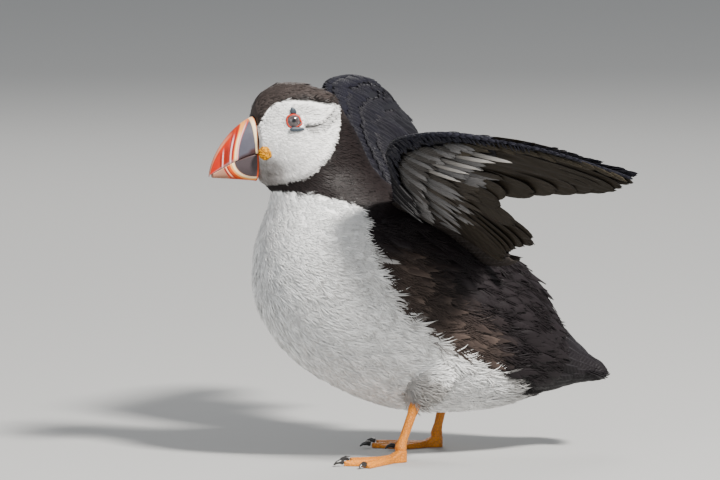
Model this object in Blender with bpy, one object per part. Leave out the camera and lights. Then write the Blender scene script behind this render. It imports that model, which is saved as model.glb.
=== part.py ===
"""Atlantic puffin standing with both wings raised: solid parts at life size.

Metres, +Z up. The bird faces -X and its left side is toward -Y. The helper
frame used below is (forward, left, up) in millimetres from a point on the
floor under the body; world() turns it into metres, and centreOnFloor() then
puts the origin at the bottom centre of the whole bird's box.
"""
import math

import bmesh
import bpy
import numpy as np
from mathutils import Matrix, Vector
from mathutils.bvhtree import BVHTree

# Driving dimensions, millimetres.
GAP = 0.4
BILL_BASE = 88.0
BILL_LEAN = 0.05
BILL_LENGTH = 27.0
BILL_TOP = 195.5
BILL_TIP = 160.5
BILL_FOOT = 159.0
BILL_FOOT_RISE = 2.6
BILL_GAPE = 175.0
BILL_GAPE_DROP = 12.2
BILL_GAPE_BEND = 1.5
BILL_MIDDLE = 178.0
BILL_HALF_WIDTH = 7.0
BILL_TIP_HALF = 0.7
BILL_UPPER_REACH = 0.995
BILL_LOWER_REACH = 0.93
EYE_PLACE = (70.5, 193.4)
EYE_RADIUS = 5.0
TARSUS_RADIUS = 3.0
THIGH_END = 0.78
TOE_SPREAD = math.radians(25)
MIDDLE_TOE = 38.0
WEB_THICK = 1.8
WEB_HOLLOW = 5.5
TOE_RADIUS = 2.5
TOE_TAPER = 0.9
TOE_RISE = 1.9
HEEL_RADIUS = 3.6
HEEL_RISE = 5.0
HEEL_REACH = 8.0
HEEL_DROP = 2.5
SOLE_CUT = 0.6
# Claws: reach past the toe, height and radius, from root to point.
CLAW_STOPS = ((GAP, 2.4, 1.6), (2.4, 2.9, 1.4), (4.8, 2.3, 0.9), (6.6, 1.1, 0.4))
TAIL_LENGTH = 28.0
RIM_THICK = 0.8

# Body outline at its landmarks from the crown to the tail coverts: front point (forward, up),
# back point (forward, up), half width, widest place, taper to the front.
BODY_LEVELS = (
    (77.5, 213, 57, 213.2, 9.0, 0.50, 0.10),    # crown
    (88, 205.5, 41, 206, 17.5, 0.52, 0.30),     # forehead
    (95, 190, 31, 192, 21.0, 0.60, 0.40),       # eyes
    (98, 179, 26, 184, 22.0, 0.60, 0.40),       # cheeks
    (86, 160, 19, 169, 23.5, 0.55, 0.26),       # chin
    (79, 153, 15, 163, 26.5, 0.52, 0.12),       # throat
    (79, 144, 9, 157, 32.0, 0.50, 0.00),        # collar
    (87, 114, -9, 147, 45.0, 0.50, 0.00),       # breast
    (83, 83, -29, 134, 50.5, 0.50, 0.00),       # keel
    (58, 52, -54, 120, 50.0, 0.50, 0.00),       # belly
    (8, 28, -77, 103, 44.5, 0.50, 0.00),        # legs
    (-50, 25, -91, 82, 34.0, 0.50, 0.00),       # vent
    (-90, 37, -102, 62, 20.0, 0.50, 0.00),      # under the tail
    (-100, 42, -108, 55, 15.0, 0.50, 0.00),     # tail coverts
)
CROWN = (67.0, 214.7)
BODY_SEGMENTS = 32
BODY_STEPS = 3

# Wings: the leading edge (forward, left, up) from shoulder to tip and the headings of the feathers
# at the shoulder and along the arm, for the left wing and, mirrored, the right. Both wings have
# feathers of the same length.
WINGS = {
    "left": {
        "side": 1,
        "rootBack": (-0.86, 0.13, -0.50),
        "back": (-0.72, 0.13, -0.68),
        "lead": ((16, 34, 150), (26, 55, 166), (37, 78, 181), (36, 98, 189), (20, 130, 193),
                 (-16, 172, 187), (-45, 198, 177), (-60, 205, 171)),
    },
    "right": {
        "side": -1,
        "rootBack": (-0.86, 0.13, -0.50),
        "back": (-0.73, 0.14, -0.67),
        "lead": ((14, 32, 152), (21, 52, 181), (20, 75, 205), (2, 98, 210), (-24, 130, 206),
                 (-50, 166, 191), (-69, 190, 180), (-76, 200, 172)),
    },
}
ROOT_REACH = 70.0
ARM_REACH = 91.0
ARM_FULL = 0.30
HAND_REACH = 108.0
HAND_PLACE = (0.48, 0.64)
TIP_REACH = 2.0
TIP_TRIM = 0.004
FAN = 0.9
WING_CUTS = (0.02, 0.27, 0.46, 1.0)
WING_NODES = ("wing_arm", "wing_forearm", "wing_hand")
FLIGHT_FEATHERS = 20
WING_BONE_THICK = 10.0
WING_CAMBER = 5.0
WING_LENGTH = 260.0

# Legs: knee, heel joint and foot joint (forward, left, up), and toe heading.
LEGS = {
    "left": {"side": 1, "knee": (-4, 31, 46), "heel": (3, 32, 32), "ankle": (12, 33, 9), "turn": 12},
    "right": {"side": -1, "knee": (-30, 29, 45), "heel": (-39, 31, 31), "ankle": (-34, 32, 9), "turn": 12},
}

COLOURS = {
    "head": (0.78, 0.78, 0.76),
    "neck": (0.03, 0.025, 0.025),
    "trunk": (0.8, 0.8, 0.78),
    "rump": (0.04, 0.03, 0.03),
    "tail": (0.03, 0.03, 0.035),
    "bill": (0.75, 0.12, 0.02),
    "rosette": (0.9, 0.45, 0.02),
    "eye": (0.02, 0.015, 0.012),
    "plate": (0.12, 0.14, 0.17),
    "wing": (0.04, 0.035, 0.04),
    "thigh": (0.12, 0.1, 0.09),
    "leg": (0.85, 0.32, 0.03),
    "claw": (0.02, 0.02, 0.02),
}


def world(point, side=1):
    forward, left, up = point
    return Vector((-forward, -left * side, up)) / 1000


def material(name):
    key = "mat_" + name
    found = bpy.data.materials.get(key)
    if found:
        return found
    made = bpy.data.materials.new(key)
    made.use_nodes = True
    surface = made.node_tree.nodes["Principled BSDF"]
    surface.inputs["Base Color"].default_value = (*COLOURS[name], 1)
    surface.inputs["Roughness"].default_value = 0.25 if name in ("bill", "eye", "claw") else 0.6
    return made


def addObject(name, bm, colour):
    bmesh.ops.remove_doubles(bm, verts=bm.verts, dist=2e-6)
    bmesh.ops.recalc_face_normals(bm, faces=bm.faces)
    mesh = bpy.data.meshes.new(name)
    bm.to_mesh(mesh)
    bm.free()
    made = bpy.data.objects.new(name, mesh)
    made.data.materials.append(material(colour))
    bpy.context.scene.collection.objects.link(made)
    return made


def skinRings(rings, side=1):
    """Closed body through rings of equal length, capped at both ends."""
    bm = bmesh.new()
    rows = [[bm.verts.new(world(point, side)) for point in ring] for ring in rings]
    for here, there in zip(rows, rows[1:]):
        count = len(here)
        for index in range(count):
            after = (index + 1) % count
            bm.faces.new((here[index], here[after], there[after], there[index]))
    for row in (rows[0], rows[-1]):
        middle = sum((vert.co for vert in row), Vector()) / len(row)
        hub = bm.verts.new(middle)
        for index in range(len(row)):
            bm.faces.new((row[index], row[(index + 1) % len(row)], hub))
    return bm


def smoothRow(rows, place):
    """Catmull-Rom value between rows at a fractional row number."""
    rows = np.asarray(rows, float)
    place = min(max(place, 0.0), len(rows) - 1.0)
    start = min(int(place), len(rows) - 2)
    mix = place - start
    before = rows[start - 1] if start > 0 else 2 * rows[0] - rows[1]
    after = rows[start + 2] if start + 2 < len(rows) else 2 * rows[-1] - rows[-2]
    first, second = rows[start], rows[start + 1]
    return 0.5 * (2 * first + (second - before) * mix
                  + (2 * before - 5 * first + 4 * second - after) * mix ** 2
                  + (3 * first - before - 3 * second + after) * mix ** 3)


def bodyRing(place, grow=0.0):
    """One level of the body: an egg-shaped ring from its front to its back point."""
    frontF, frontU, backF, backU, halfWidth, widest, taper = smoothRow(BODY_LEVELS, place)
    front = np.array((frontF, frontU))
    back = np.array((backF, backU))
    length = np.linalg.norm(front - back)
    along = (front - back) / length
    front = front + along * grow
    back = back - along * grow
    length += 2 * grow
    hub = back + along * length * widest
    ring = []
    for index in range(BODY_SEGMENTS):
        angle = 2 * math.pi * index / BODY_SEGMENTS
        reach = length * (1 - widest) if math.cos(angle) > 0 else length * widest
        middle = hub + along * reach * math.cos(angle)
        slim = 1 - taper * max(math.cos(angle), 0) ** 1.5
        ring.append((middle[0], (halfWidth + grow) * slim * math.sin(angle), middle[1]))
    return ring


def bodyMesh(grow=0.0):
    crown = [(CROWN[0] + 4 * math.cos(2 * math.pi * index / BODY_SEGMENTS),
              3 * math.sin(2 * math.pi * index / BODY_SEGMENTS),
              CROWN[1] + grow) for index in range(BODY_SEGMENTS)]
    steps = (len(BODY_LEVELS) - 1) * BODY_STEPS
    rings = [crown] + [bodyRing(index / BODY_STEPS, grow) for index in range(steps + 1)]
    return skinRings(rings)


def cutAway(bm, point, normal):
    """Remove what lies on the normal's side of a plane and close the cut."""
    geometry = bm.verts[:] + bm.edges[:] + bm.faces[:]
    cut = bmesh.ops.bisect_plane(bm, geom=geometry, dist=1e-7, plane_co=world(point),
                                 plane_no=world(normal).normalized(), clear_outer=True)
    rim = [item for item in cut["geom_cut"] if isinstance(item, bmesh.types.BMEdge)]
    bmesh.ops.holes_fill(bm, edges=rim, sides=0)
    bmesh.ops.triangulate(bm, faces=[face for face in bm.faces if len(face.verts) > 4])


# Where the body is parted: a point on each cut and its normal toward the tail.
PARTINGS = (
    ((57, 0, 175.5), (-0.66, 0, -0.75)),
    ((60, 0, 150), (-0.14, 0, -0.99)),
    ((-66, 0, 70), (-0.93, 0, -0.37)),
)
BODY_NODES = (("head", "head"), ("neck", "neck"), ("trunk", "trunk"), ("rump", "rump"))


def shifted(point, normal, distance):
    unit = np.array(normal, float) / np.linalg.norm(normal)
    return tuple(np.array(point, float) + unit * distance)


def buildBody():
    made = {}
    for index, (name, colour) in enumerate(BODY_NODES):
        bm = bodyMesh()
        if index > 0:
            point, normal = PARTINGS[index - 1]
            cutAway(bm, shifted(point, normal, GAP / 2), tuple(-value for value in normal))
        if index < len(PARTINGS):
            point, normal = PARTINGS[index]
            cutAway(bm, shifted(point, normal, -GAP / 2), normal)
        if name == "head":
            cutAway(bm, (BILL_BASE - GAP, 0, BILL_MIDDLE), (1, 0, -BILL_LEAN))
        made[name] = addObject(name, bm, colour)
    return made


def cutter(name, bm):
    made = addObject("cut_" + name, bm, "claw")
    made.hide_render = True
    made.display_type = "WIRE"
    return made


def carve(target, tool):
    """Apply a difference with the tool, then drop the tool."""
    step = target.modifiers.new("carve", "BOOLEAN")
    step.operation = "DIFFERENCE"
    step.object = tool
    step.solver = "EXACT"
    graph = bpy.context.evaluated_depsgraph_get()
    result = bpy.data.meshes.new_from_object(target.evaluated_get(graph))
    target.modifiers.clear()
    old = target.data
    target.data = result
    bpy.data.meshes.remove(old)
    bpy.data.objects.remove(tool)


def ellipsoid(centre, radii, side=1, tilt=0.0):
    """Ball of given radii, turned about the left-right axis by tilt."""
    bm = bmesh.new()
    bmesh.ops.create_uvsphere(bm, u_segments=12, v_segments=7, radius=1)
    turn = math.radians(tilt)
    for vert in bm.verts:
        forward, left, up = vert.co.x * radii[0], vert.co.y * radii[1], vert.co.z * radii[2]
        turned = (forward * math.cos(turn) - up * math.sin(turn), left,
                  forward * math.sin(turn) + up * math.cos(turn))
        vert.co = world(tuple(np.array(centre) + np.array(turned)), side)
    return bm


# On each side of the face: name, colour, forward, up, sunk depth, radii and tilt.
FACE_PIECES = (
    ("eye", "eye", EYE_PLACE[0], EYE_PLACE[1], EYE_RADIUS - 1.4, (EYE_RADIUS,) * 3, 0),
    ("eye_plate_upper", "plate", EYE_PLACE[0] + 0.3, EYE_PLACE[1] + 5.7, 0.3, (2.0, 1.2, 2.4), 0),
    ("eye_plate_lower", "plate", EYE_PLACE[0] - 1.6, EYE_PLACE[1] - 4.6, 0.3, (4.5, 1.2, 1.5), -10),
    ("rosette", "rosette", 85.6, 175.6, 1.0, (4.2, 2.4, 3.9), 0),
)


def buildFace(head):
    """Eyes, the horny plates round them and the gape rosettes, let into the head."""
    skin = BVHTree.FromBMesh(bodyMesh())
    for name, colour, forward, up, depth, radii, tilt in FACE_PIECES:
        hit = skin.ray_cast(world((forward, 60, up)), Vector((0, 1, 0)))[0]
        centre = (forward, -hit.y * 1000 - depth, up)
        grown = tuple(value + GAP for value in radii)
        for sideName, side in (("left", 1), ("right", -1)):
            label = f"{name}_{sideName}"
            carve(head, cutter(label, ellipsoid(centre, grown, side, tilt)))
            piece = addObject(label, ellipsoid(centre, radii, side, tilt), colour)
            if colour == "eye":
                eyeCentre, eyeGrown = centre, grown
            elif colour == "plate":
                carve(piece, cutter(label, ellipsoid(eyeCentre, eyeGrown, side)))


def billOutline(share):
    """Upper ridge, gape line and lower edge heights at a share of the bill's length."""
    ridge = BILL_TIP + (BILL_TOP - BILL_TIP) * (1 - share ** 1.3) ** 0.53
    gape = BILL_GAPE - BILL_GAPE_DROP * share ** BILL_GAPE_BEND
    lower = BILL_FOOT + BILL_FOOT_RISE * share ** 0.8
    return ridge, gape, lower


def billHalf(upper):
    """One half of the bill: rings from its base to its tip, pressed flat sideways."""
    steps = 14
    turns = 8
    longest = BILL_UPPER_REACH if upper else BILL_LOWER_REACH
    rings = []
    for step in range(steps + 1):
        share = longest * step / steps
        ridge, gape, lower = billOutline(share)
        half = BILL_HALF_WIDTH * (1 - share ** 1.6) ** 0.7 + BILL_TIP_HALF
        ring = []
        for index in range(turns + 1):
            angle = math.pi * index / turns
            if upper:
                low = min(gape + GAP / 2, ridge - 0.8)
                height = low + (ridge - low) * math.sin(angle) ** 0.62
            else:
                high = gape - GAP / 2
                height = high - (high - lower) * math.sin(angle) ** 0.8
            forward = BILL_BASE + BILL_LENGTH * share + (height - BILL_MIDDLE) * BILL_LEAN * (1 - share)
            ring.append((forward, half * math.cos(angle) * (1.0 if upper else 0.94), height))
        rings.append(ring)
    return skinRings(rings)


def smoothStep(low, high, value):
    share = min(max((value - low) / (high - low), 0.0), 1.0)
    return share * share * (3 - 2 * share)


def wingChord(wing, along):
    """Step from the leading to the trailing edge, and the leading edge's own direction.

    The arm's feathers are near equal and share one heading. The hand's shorten evenly to the
    tip and turn square to the leading edge.
    """
    spot = along * (len(wing["lead"]) - 1)
    ahead = smoothRow(wing["lead"], spot + 0.25) - smoothRow(wing["lead"], spot - 0.25)
    ahead /= np.linalg.norm(ahead)
    hand = smoothStep(*HAND_PLACE, along)
    full = smoothStep(0.0, ARM_FULL, along)
    arm = ROOT_REACH + (ARM_REACH - ROOT_REACH) * full
    reach = arm * (1 - hand) + HAND_REACH * (1 - along) * hand
    back = np.array(wing["rootBack"]) * (1 - full) + np.array(wing["back"]) * full
    back /= np.linalg.norm(back)
    heading = back - FAN * hand * (back @ ahead) * ahead
    return heading / np.linalg.norm(heading) * max(reach, TIP_REACH), ahead


def wingPoint(wing, along, across, lift=0.0):
    """Point on a wing: along from shoulder to tip, across from lead to trail edge."""
    lead = smoothRow(wing["lead"], along * (len(wing["lead"]) - 1))
    chord, ahead = wingChord(wing, along)
    normal = np.cross(chord, ahead)
    normal /= np.linalg.norm(normal)
    if normal[2] < 0:
        normal = -normal
    camber = WING_CAMBER * 4 * across * (1 - across) * (1 - along * 0.7)
    return lead + chord * across + normal * (camber + lift)


def featherEdge(along):
    """Length of the chord that the feather tips reach: a scallop for each feather."""
    wave = abs(math.sin(math.pi * along * FLIGHT_FEATHERS))
    return 0.965 + 0.035 * wave


def wingPart(wing, start, end):
    """Closed shell between two places along the wing, thick at its leading edge."""
    spans = round((end - start) * 2 * FLIGHT_FEATHERS)
    chords = (0.0, 0.06, 0.22, 0.55, 1.0)
    rings = []
    for span in range(spans + 1):
        along = start + (end - start) * span / spans
        edge = featherEdge(along)
        bone = RIM_THICK + (WING_BONE_THICK - RIM_THICK) * (1 - along) ** 0.7
        upper = []
        lower = []
        for across in chords:
            body = math.sqrt(min(across / 0.12, 1.0)) * max(1 - across, 0) ** 2
            half = 0.5 * (RIM_THICK + (bone - RIM_THICK) * body)
            upper.append(tuple(wingPoint(wing, along, across * edge, half)))
            lower.append(tuple(wingPoint(wing, along, across * edge, -half)))
        rings.append(upper + lower[::-1])
    return skinRings(rings, wing["side"])


def buildWings():
    for sideName, wing in WINGS.items():
        slit = GAP / WING_LENGTH
        for name, start, end in zip(WING_NODES, WING_CUTS, WING_CUTS[1:]):
            first = start + slit
            last = end - (slit if end < 1 else TIP_TRIM)
            made = addObject(f"{name}_{sideName}", wingPart(wing, first, last), "wing")
            if name == "wing_arm":
                carve(made, cutter(name + sideName, bodyMesh(GAP)))


def tube(stops, side, segments=12):
    """Round body through stops of (point, radius)."""
    rings = []
    points = [np.array(point, float) for point, radius in stops]
    for index, (point, radius) in enumerate(stops):
        before = points[max(index - 1, 0)]
        after = points[min(index + 1, len(points) - 1)]
        axis = (after - before) / np.linalg.norm(after - before)
        across = np.cross(axis, (0, 1, 0))
        across /= np.linalg.norm(across)
        other = np.cross(axis, across)
        ring = []
        for step in range(segments):
            angle = 2 * math.pi * step / segments
            spoke = math.cos(angle) * across + math.sin(angle) * other
            ring.append(tuple(points[index] + radius * spoke))
        rings.append(ring)
    return skinRings(rings, side)


def between(first, second, share):
    return tuple(np.array(first, float) * (1 - share) + np.array(second, float) * share)


def buildLegs():
    for sideName, leg in LEGS.items():
        side = leg["side"]
        knee, heel, ankle = leg["knee"], leg["heel"], leg["ankle"]
        thighStops = ((between(knee, heel, -0.5), 15.0), (knee, 14.0), (between(knee, heel, 0.45), 10.5),
                      (between(knee, heel, THIGH_END), 6.0))
        thigh = addObject(f"thigh_{sideName}", tube(thighStops, side, 16), "thigh")
        carve(thigh, cutter("thigh" + sideName, bodyMesh(GAP)))
        start = between(knee, heel, THIGH_END + GAP / 12)
        tarsusStops = ((start, TARSUS_RADIUS), (heel, TARSUS_RADIUS * 1.15),
                       (between(heel, ankle, 0.25), TARSUS_RADIUS * 0.9),
                       (between(heel, ankle, 0.8), TARSUS_RADIUS * 0.85),
                       (ankle, TARSUS_RADIUS * 1.05))
        bm = tube(tarsusStops, side, 12)
        cutAway(bm, (0, 0, ankle[2] - SOLE_CUT), (0, 0, -1))
        addObject(f"tarsus_{sideName}", bm, "leg")
        buildFoot(sideName, leg)


def toeHeadings(leg):
    """Heading and length of the inner, middle and outer toe."""
    turn = math.radians(leg["turn"])
    return ((turn - TOE_SPREAD, MIDDLE_TOE * 0.76), (turn, MIDDLE_TOE),
            (turn + TOE_SPREAD, MIDDLE_TOE * 0.96))


def footReach(headings, angle):
    """How far the webbed foot reaches at an angle: toes at their length, webs hollowed."""
    for (first, firstLong), (second, secondLong) in zip(headings, headings[1:]):
        if angle <= second + 1e-9:
            share = min(max((angle - first) / (second - first), 0), 1)
            straight = firstLong * (1 - share) + secondLong * share
            return straight - WEB_HOLLOW * math.sin(math.pi * share)
    return headings[-1][1]


def footHeight(headings, angle, reach):
    """Upper surface: thin web, with a rounded ridge along each toe."""
    height = WEB_THICK
    for heading, length in headings:
        offset = reach * math.sin(angle - heading)
        radius = TOE_RADIUS - TOE_TAPER * reach / MIDDLE_TOE
        if abs(offset) < radius:
            ridge = TOE_RISE * math.sqrt(1 - (offset / radius) ** 2) * (1 - 0.3 * reach / length)
            height = max(height, WEB_THICK + ridge)
    return height + HEEL_RISE * max(1 - reach / HEEL_REACH, 0) ** 1.2


def buildFoot(sideName, leg):
    headings = toeHeadings(leg)
    side = leg["side"]
    centreF, centreL, ankleUp = leg["ankle"]
    margin = math.radians(5)
    first, last = headings[0][0] - margin, headings[-1][0] + margin
    rays = 26
    shares = (0.22, 0.42, 0.7, 1.0)
    bm = bmesh.new()
    tops, soles = [], []
    for ray in range(rays + 1):
        angle = first + (last - first) * ray / rays
        reach = footReach(headings, min(max(angle, headings[0][0]), headings[-1][0]))
        top, sole = [], []
        for share in shares:
            radius = reach * share
            spot = (centreF + radius * math.cos(angle), centreL + radius * math.sin(angle))
            height = footHeight(headings, angle, radius)
            top.append(bm.verts.new(world((*spot, height), side)))
            sole.append(bm.verts.new(world((*spot, 0), side)))
        tops.append(top)
        soles.append(sole)
    topHub = bm.verts.new(world((centreF, centreL, ankleUp - SOLE_CUT - GAP), side))
    soleHub = bm.verts.new(world((centreF, centreL, 0), side))
    rear = []
    arc = 2 * math.pi - (last - first)
    for step in range(1, 10):
        angle = last + arc * step / 10
        spot = (centreF + HEEL_RADIUS * math.cos(angle), centreL + HEEL_RADIUS * math.sin(angle))
        rear.append((bm.verts.new(world((*spot, ankleUp - HEEL_DROP - GAP), side)),
                     bm.verts.new(world((*spot, 0), side))))
    for ray in range(rays):
        for index in range(len(shares) - 1):
            bm.faces.new((tops[ray][index], tops[ray][index + 1], tops[ray + 1][index + 1],
                          tops[ray + 1][index]))
            bm.faces.new((soles[ray][index], soles[ray + 1][index], soles[ray + 1][index + 1],
                          soles[ray][index + 1]))
        bm.faces.new((tops[ray][-1], soles[ray][-1], soles[ray + 1][-1], tops[ray + 1][-1]))
        bm.faces.new((topHub, tops[ray][0], tops[ray + 1][0]))
        bm.faces.new((soleHub, soles[ray + 1][0], soles[ray][0]))
    for row, place in ((tops[0], soles[0]), (tops[-1], soles[-1])):
        for index in range(len(shares) - 1):
            bm.faces.new((row[index], place[index], place[index + 1], row[index + 1]))
    loop = [(tops[-1][0], soles[-1][0])] + rear + [(tops[0][0], soles[0][0])]
    for (topHere, soleHere), (topNext, soleNext) in zip(loop, loop[1:]):
        bm.faces.new((topHere, topNext, soleNext, soleHere))
        bm.faces.new((topHub, topHere, topNext))
        bm.faces.new((soleHub, soleNext, soleHere))
    addObject(f"foot_{sideName}", bm, "leg")
    for toeName, (heading, length) in zip(("inner", "middle", "outer"), headings):
        stops = []
        for reach, up, radius in CLAW_STOPS:
            spot = length + reach
            place = (centreF + spot * math.cos(heading), centreL + spot * math.sin(heading), up)
            stops.append((place, radius))
        addObject(f"claw_{toeName}_{sideName}", tube(stops, side, 8), "claw")


def buildTail():
    """Short fan of tail feathers: arched across, thin at its rounded end."""
    root = np.array((-102.0, 0.0, 52.5))
    down = np.array((-0.955, 0.0, -0.296))
    rise = np.array((-0.296, 0.0, 0.955))
    columns = 12
    rows = 6
    rings = []
    for row in range(rows + 1):
        share = row / rows
        upper, lower = [], []
        for column in range(columns + 1):
            across = 2 * column / columns - 1
            reach = TAIL_LENGTH * share * (1 - 0.34 * abs(across) ** 2.2)
            scallop = 1.2 * share * abs(math.sin(math.pi * column / 2)) if share > 0.9 else 0
            half = 0.5 * (RIM_THICK + 9.0 * (1 - share) ** 1.2 * (1 - across ** 2))
            width = 10 + 12 * share
            arch = -4.5 * across ** 2
            point = root + down * (reach - scallop) + np.array((0, across * width, 0))
            upper.append(tuple(point + rise * (arch + half)))
            lower.append(tuple(point + rise * (arch - half)))
        rings.append(upper + lower[::-1])
    made = addObject("tail", skinRings(rings), "tail")
    carve(made, cutter("tail", bodyMesh(GAP)))


def centreOnFloor():
    """Move every mesh so that the box round the bird is centred over the origin."""
    meshes = [item.data for item in bpy.data.objects if item.type == "MESH"]
    places = [vert.co for mesh in meshes for vert in mesh.vertices]
    middle = [(min(co[axis] for co in places) + max(co[axis] for co in places)) / 2 for axis in (0, 1)]
    print("origin shift", [round(value * 1000, 3) for value in middle])
    for mesh in meshes:
        mesh.transform(Matrix.Translation((-middle[0], -middle[1], 0)))


def main():
    for item in list(bpy.data.objects):
        bpy.data.objects.remove(item)
    made = buildBody()
    buildFace(made["head"])
    addObject("bill_upper", billHalf(True), "bill")
    addObject("bill_lower", billHalf(False), "bill")
    buildTail()
    buildWings()
    buildLegs()
    centreOnFloor()


main()
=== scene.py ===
import math

import bmesh
import bpy
import numpy as np
from mathutils import Matrix, Vector
from mathutils.bvhtree import BVHTree


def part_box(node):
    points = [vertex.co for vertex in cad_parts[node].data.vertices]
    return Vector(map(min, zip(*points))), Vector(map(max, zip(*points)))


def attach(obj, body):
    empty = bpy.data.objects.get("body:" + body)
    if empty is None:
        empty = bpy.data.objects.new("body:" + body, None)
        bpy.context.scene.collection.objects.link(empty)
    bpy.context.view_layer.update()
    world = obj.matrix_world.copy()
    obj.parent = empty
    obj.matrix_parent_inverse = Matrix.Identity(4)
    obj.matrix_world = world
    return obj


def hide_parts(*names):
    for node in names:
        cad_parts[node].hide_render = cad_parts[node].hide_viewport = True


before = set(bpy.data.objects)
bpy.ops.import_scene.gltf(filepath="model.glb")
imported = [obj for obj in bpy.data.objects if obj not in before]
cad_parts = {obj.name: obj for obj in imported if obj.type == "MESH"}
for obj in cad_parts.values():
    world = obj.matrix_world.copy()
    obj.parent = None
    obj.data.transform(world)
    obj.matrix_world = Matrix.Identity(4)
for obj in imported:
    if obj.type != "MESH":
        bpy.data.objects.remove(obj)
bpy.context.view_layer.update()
print("frame loaded:", len(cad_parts), "nodes")

eye = {"forward": 70.5, "up": 193.4, "radius": 5.0, "clear": 4.7}


def middle(node):
    low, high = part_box(node)
    return (low + high) / 2


# Places are (forward, left, up) in millimetres, as in the solids. The eyes give their shift.
eyeMiddle = (middle("eye_left") + middle("eye_right")) / 2 * 1000
origin = {"forward": -eyeMiddle.x - eye["forward"], "left": -eyeMiddle.y}

body = {
    # front (forward, up), back (forward, up), half width, widest place, taper to the front
    "levels": (
        (77.5, 213, 57, 213.2, 9.0, 0.50, 0.10),    # crown
        (88, 205.5, 41, 206, 17.5, 0.52, 0.30),     # forehead
        (95, 190, 31, 192, 21.0, 0.60, 0.40),       # eyes
        (98, 179, 26, 184, 22.0, 0.60, 0.40),       # cheeks
        (86, 160, 19, 169, 23.5, 0.55, 0.26),       # chin
        (79, 153, 15, 163, 26.5, 0.52, 0.12),       # throat
        (79, 144, 9, 157, 32.0, 0.50, 0.00),        # collar
        (87, 114, -9, 147, 45.0, 0.50, 0.00),       # breast
        (83, 83, -29, 134, 50.5, 0.50, 0.00),       # keel
        (58, 52, -54, 120, 50.0, 0.50, 0.00),       # belly
        (8, 28, -77, 103, 44.5, 0.50, 0.00),        # legs
        (-50, 25, -91, 82, 34.0, 0.50, 0.00),       # vent
        (-90, 37, -102, 62, 20.0, 0.50, 0.00),      # under the tail
        (-100, 42, -108, 55, 15.0, 0.50, 0.00),     # tail coverts
    ),
    "crown": (67.0, 214.7),
    "segments": 72,
    "steps": 8,
    "coatDepth": 1.5,
    "voxel": 0.0016,
    "billPlane": (87.6, 178.0, 0.05),   # forward, up, lean
    "tail": (-128.0, 0.0, 42.0),
    "beak": (97.0, 0.0, 186.0),
    "patch": 0.003,                     # width of a tuft's patch on the skin's map
    "wingLie": (-0.75, 0, -0.6),        # way the feathers of the wing's root lie
}

wings = {
    "left": {
        "side": 1,
        "rootBack": (-0.86, 0.13, -0.50),
        "back": (-0.72, 0.13, -0.68),
        "lead": ((16, 34, 150), (26, 55, 166), (37, 78, 181), (36, 98, 189), (20, 130, 193),
                 (-16, 172, 187), (-45, 198, 177), (-60, 205, 171)),
    },
    "right": {
        "side": -1,
        "rootBack": (-0.86, 0.13, -0.50),
        "back": (-0.73, 0.14, -0.67),
        "lead": ((14, 32, 152), (21, 52, 181), (20, 75, 205), (2, 98, 210), (-24, 130, 206),
                 (-50, 166, 191), (-69, 190, 180), (-76, 200, 172)),
    },
}
wingShape = {
    "camber": 5.0, "rootReach": 70.0, "armReach": 91.0, "armFull": 0.30, "fleshEnd": 0.64,
    "handReach": 108.0, "handPlace": (0.48, 0.64), "tipReach": 2.0, "fan": 0.9,
    # the flesh: where it starts along the wing and across it, how far across it reaches, and two
    # thicknesses, of the flesh alone and with its down, each at the tip and what the root adds to it
    "fleshStart": 0.02, "fleshFront": 0.03, "fleshReach": 0.50, "fleshTaper": 0.22, "fleshThick": (2.6, 3.6),
    "coverThick": (3.2, 4.6), "steps": 40, "bodySteps": 4, "bodyStep": 4.5,
}

bill = {
    "base": 88.0, "middle": 178.0, "lean": 0.05, "length": 27.0, "top": 195.5, "tip": 160.5,
    "foot": 159.0, "footRise": 2.6,
    "gape": 175.0, "gapeDrop": 12.2, "gapeBend": 1.5, "half": 7.0, "reach": (0.995, 0.93),
    "red": (0.42, 0.011, 0.0001), "orange": (0.56, 0.060, 0.0002), "dark": (0.19, 0.010, 0.003),
    "cream": (0.82, 0.64, 0.38), "peach": (0.80, 0.33, 0.07), "slate": (0.070, 0.068, 0.088),
    # groove: dark red painted shade in the grooves dented into the bill
    "slateLow": (0.050, 0.038, 0.042), "groove": (0.20, 0.014, 0.012), "lilac": (0.62, 0.46, 0.48),
    # pink: a painted highlight along the ridge, and a real pale line on the lower half
    "horn": (0.34, 0.165, 0.105), "gapeLine": (0.050, 0.016, 0.012), "pink": (0.78, 0.40, 0.26),
    # the fleshy rim at the base, then lines across the upper half, each bending back toward the ridge:
    # where it meets the gape, its colour, half its width, how fast it bends, the height it fades at
    "fleshy": 2.3, "bend": 2.45,
    "slateEdge": (99.6, 0.0054),
    "lines": ((100.1, "lilac", 0.30, 0.0050, 192), (101.3, "peach", 0.9, 0.0046, 200),
              (101.2, "cream", 0.5, 0.0047, 186), (103.2, "groove", 0.38, 0.0042, 189),
              (104.0, "lilac", 0.38, 0.0040, 184), (104.9, "groove", 0.42, 0.0040, 187),
              # the two dark lines are painted shade beside the fainter grooves near the tip
              (106.4, "dark", 1.1, 0.0030, 179), (108.2, "lilac", 0.30, 0.0030, 176),
              (109.2, "dark", 0.5, 0.0030, 175)),
    # the slate patch of the lower half is a quarter of an oval; the steps ahead of it are in millimetres
    "low": {"forward": 89.0, "up": 171.0, "long": 12.6, "deep": 9.1},
    "lowLines": ((1.1, "cream", 1.0), (1.9, "peach", 0.5), (4.1, "groove", 0.4), (4.7, "pink", 0.35),
                 (5.4, "groove", 0.45)),
}

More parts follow.
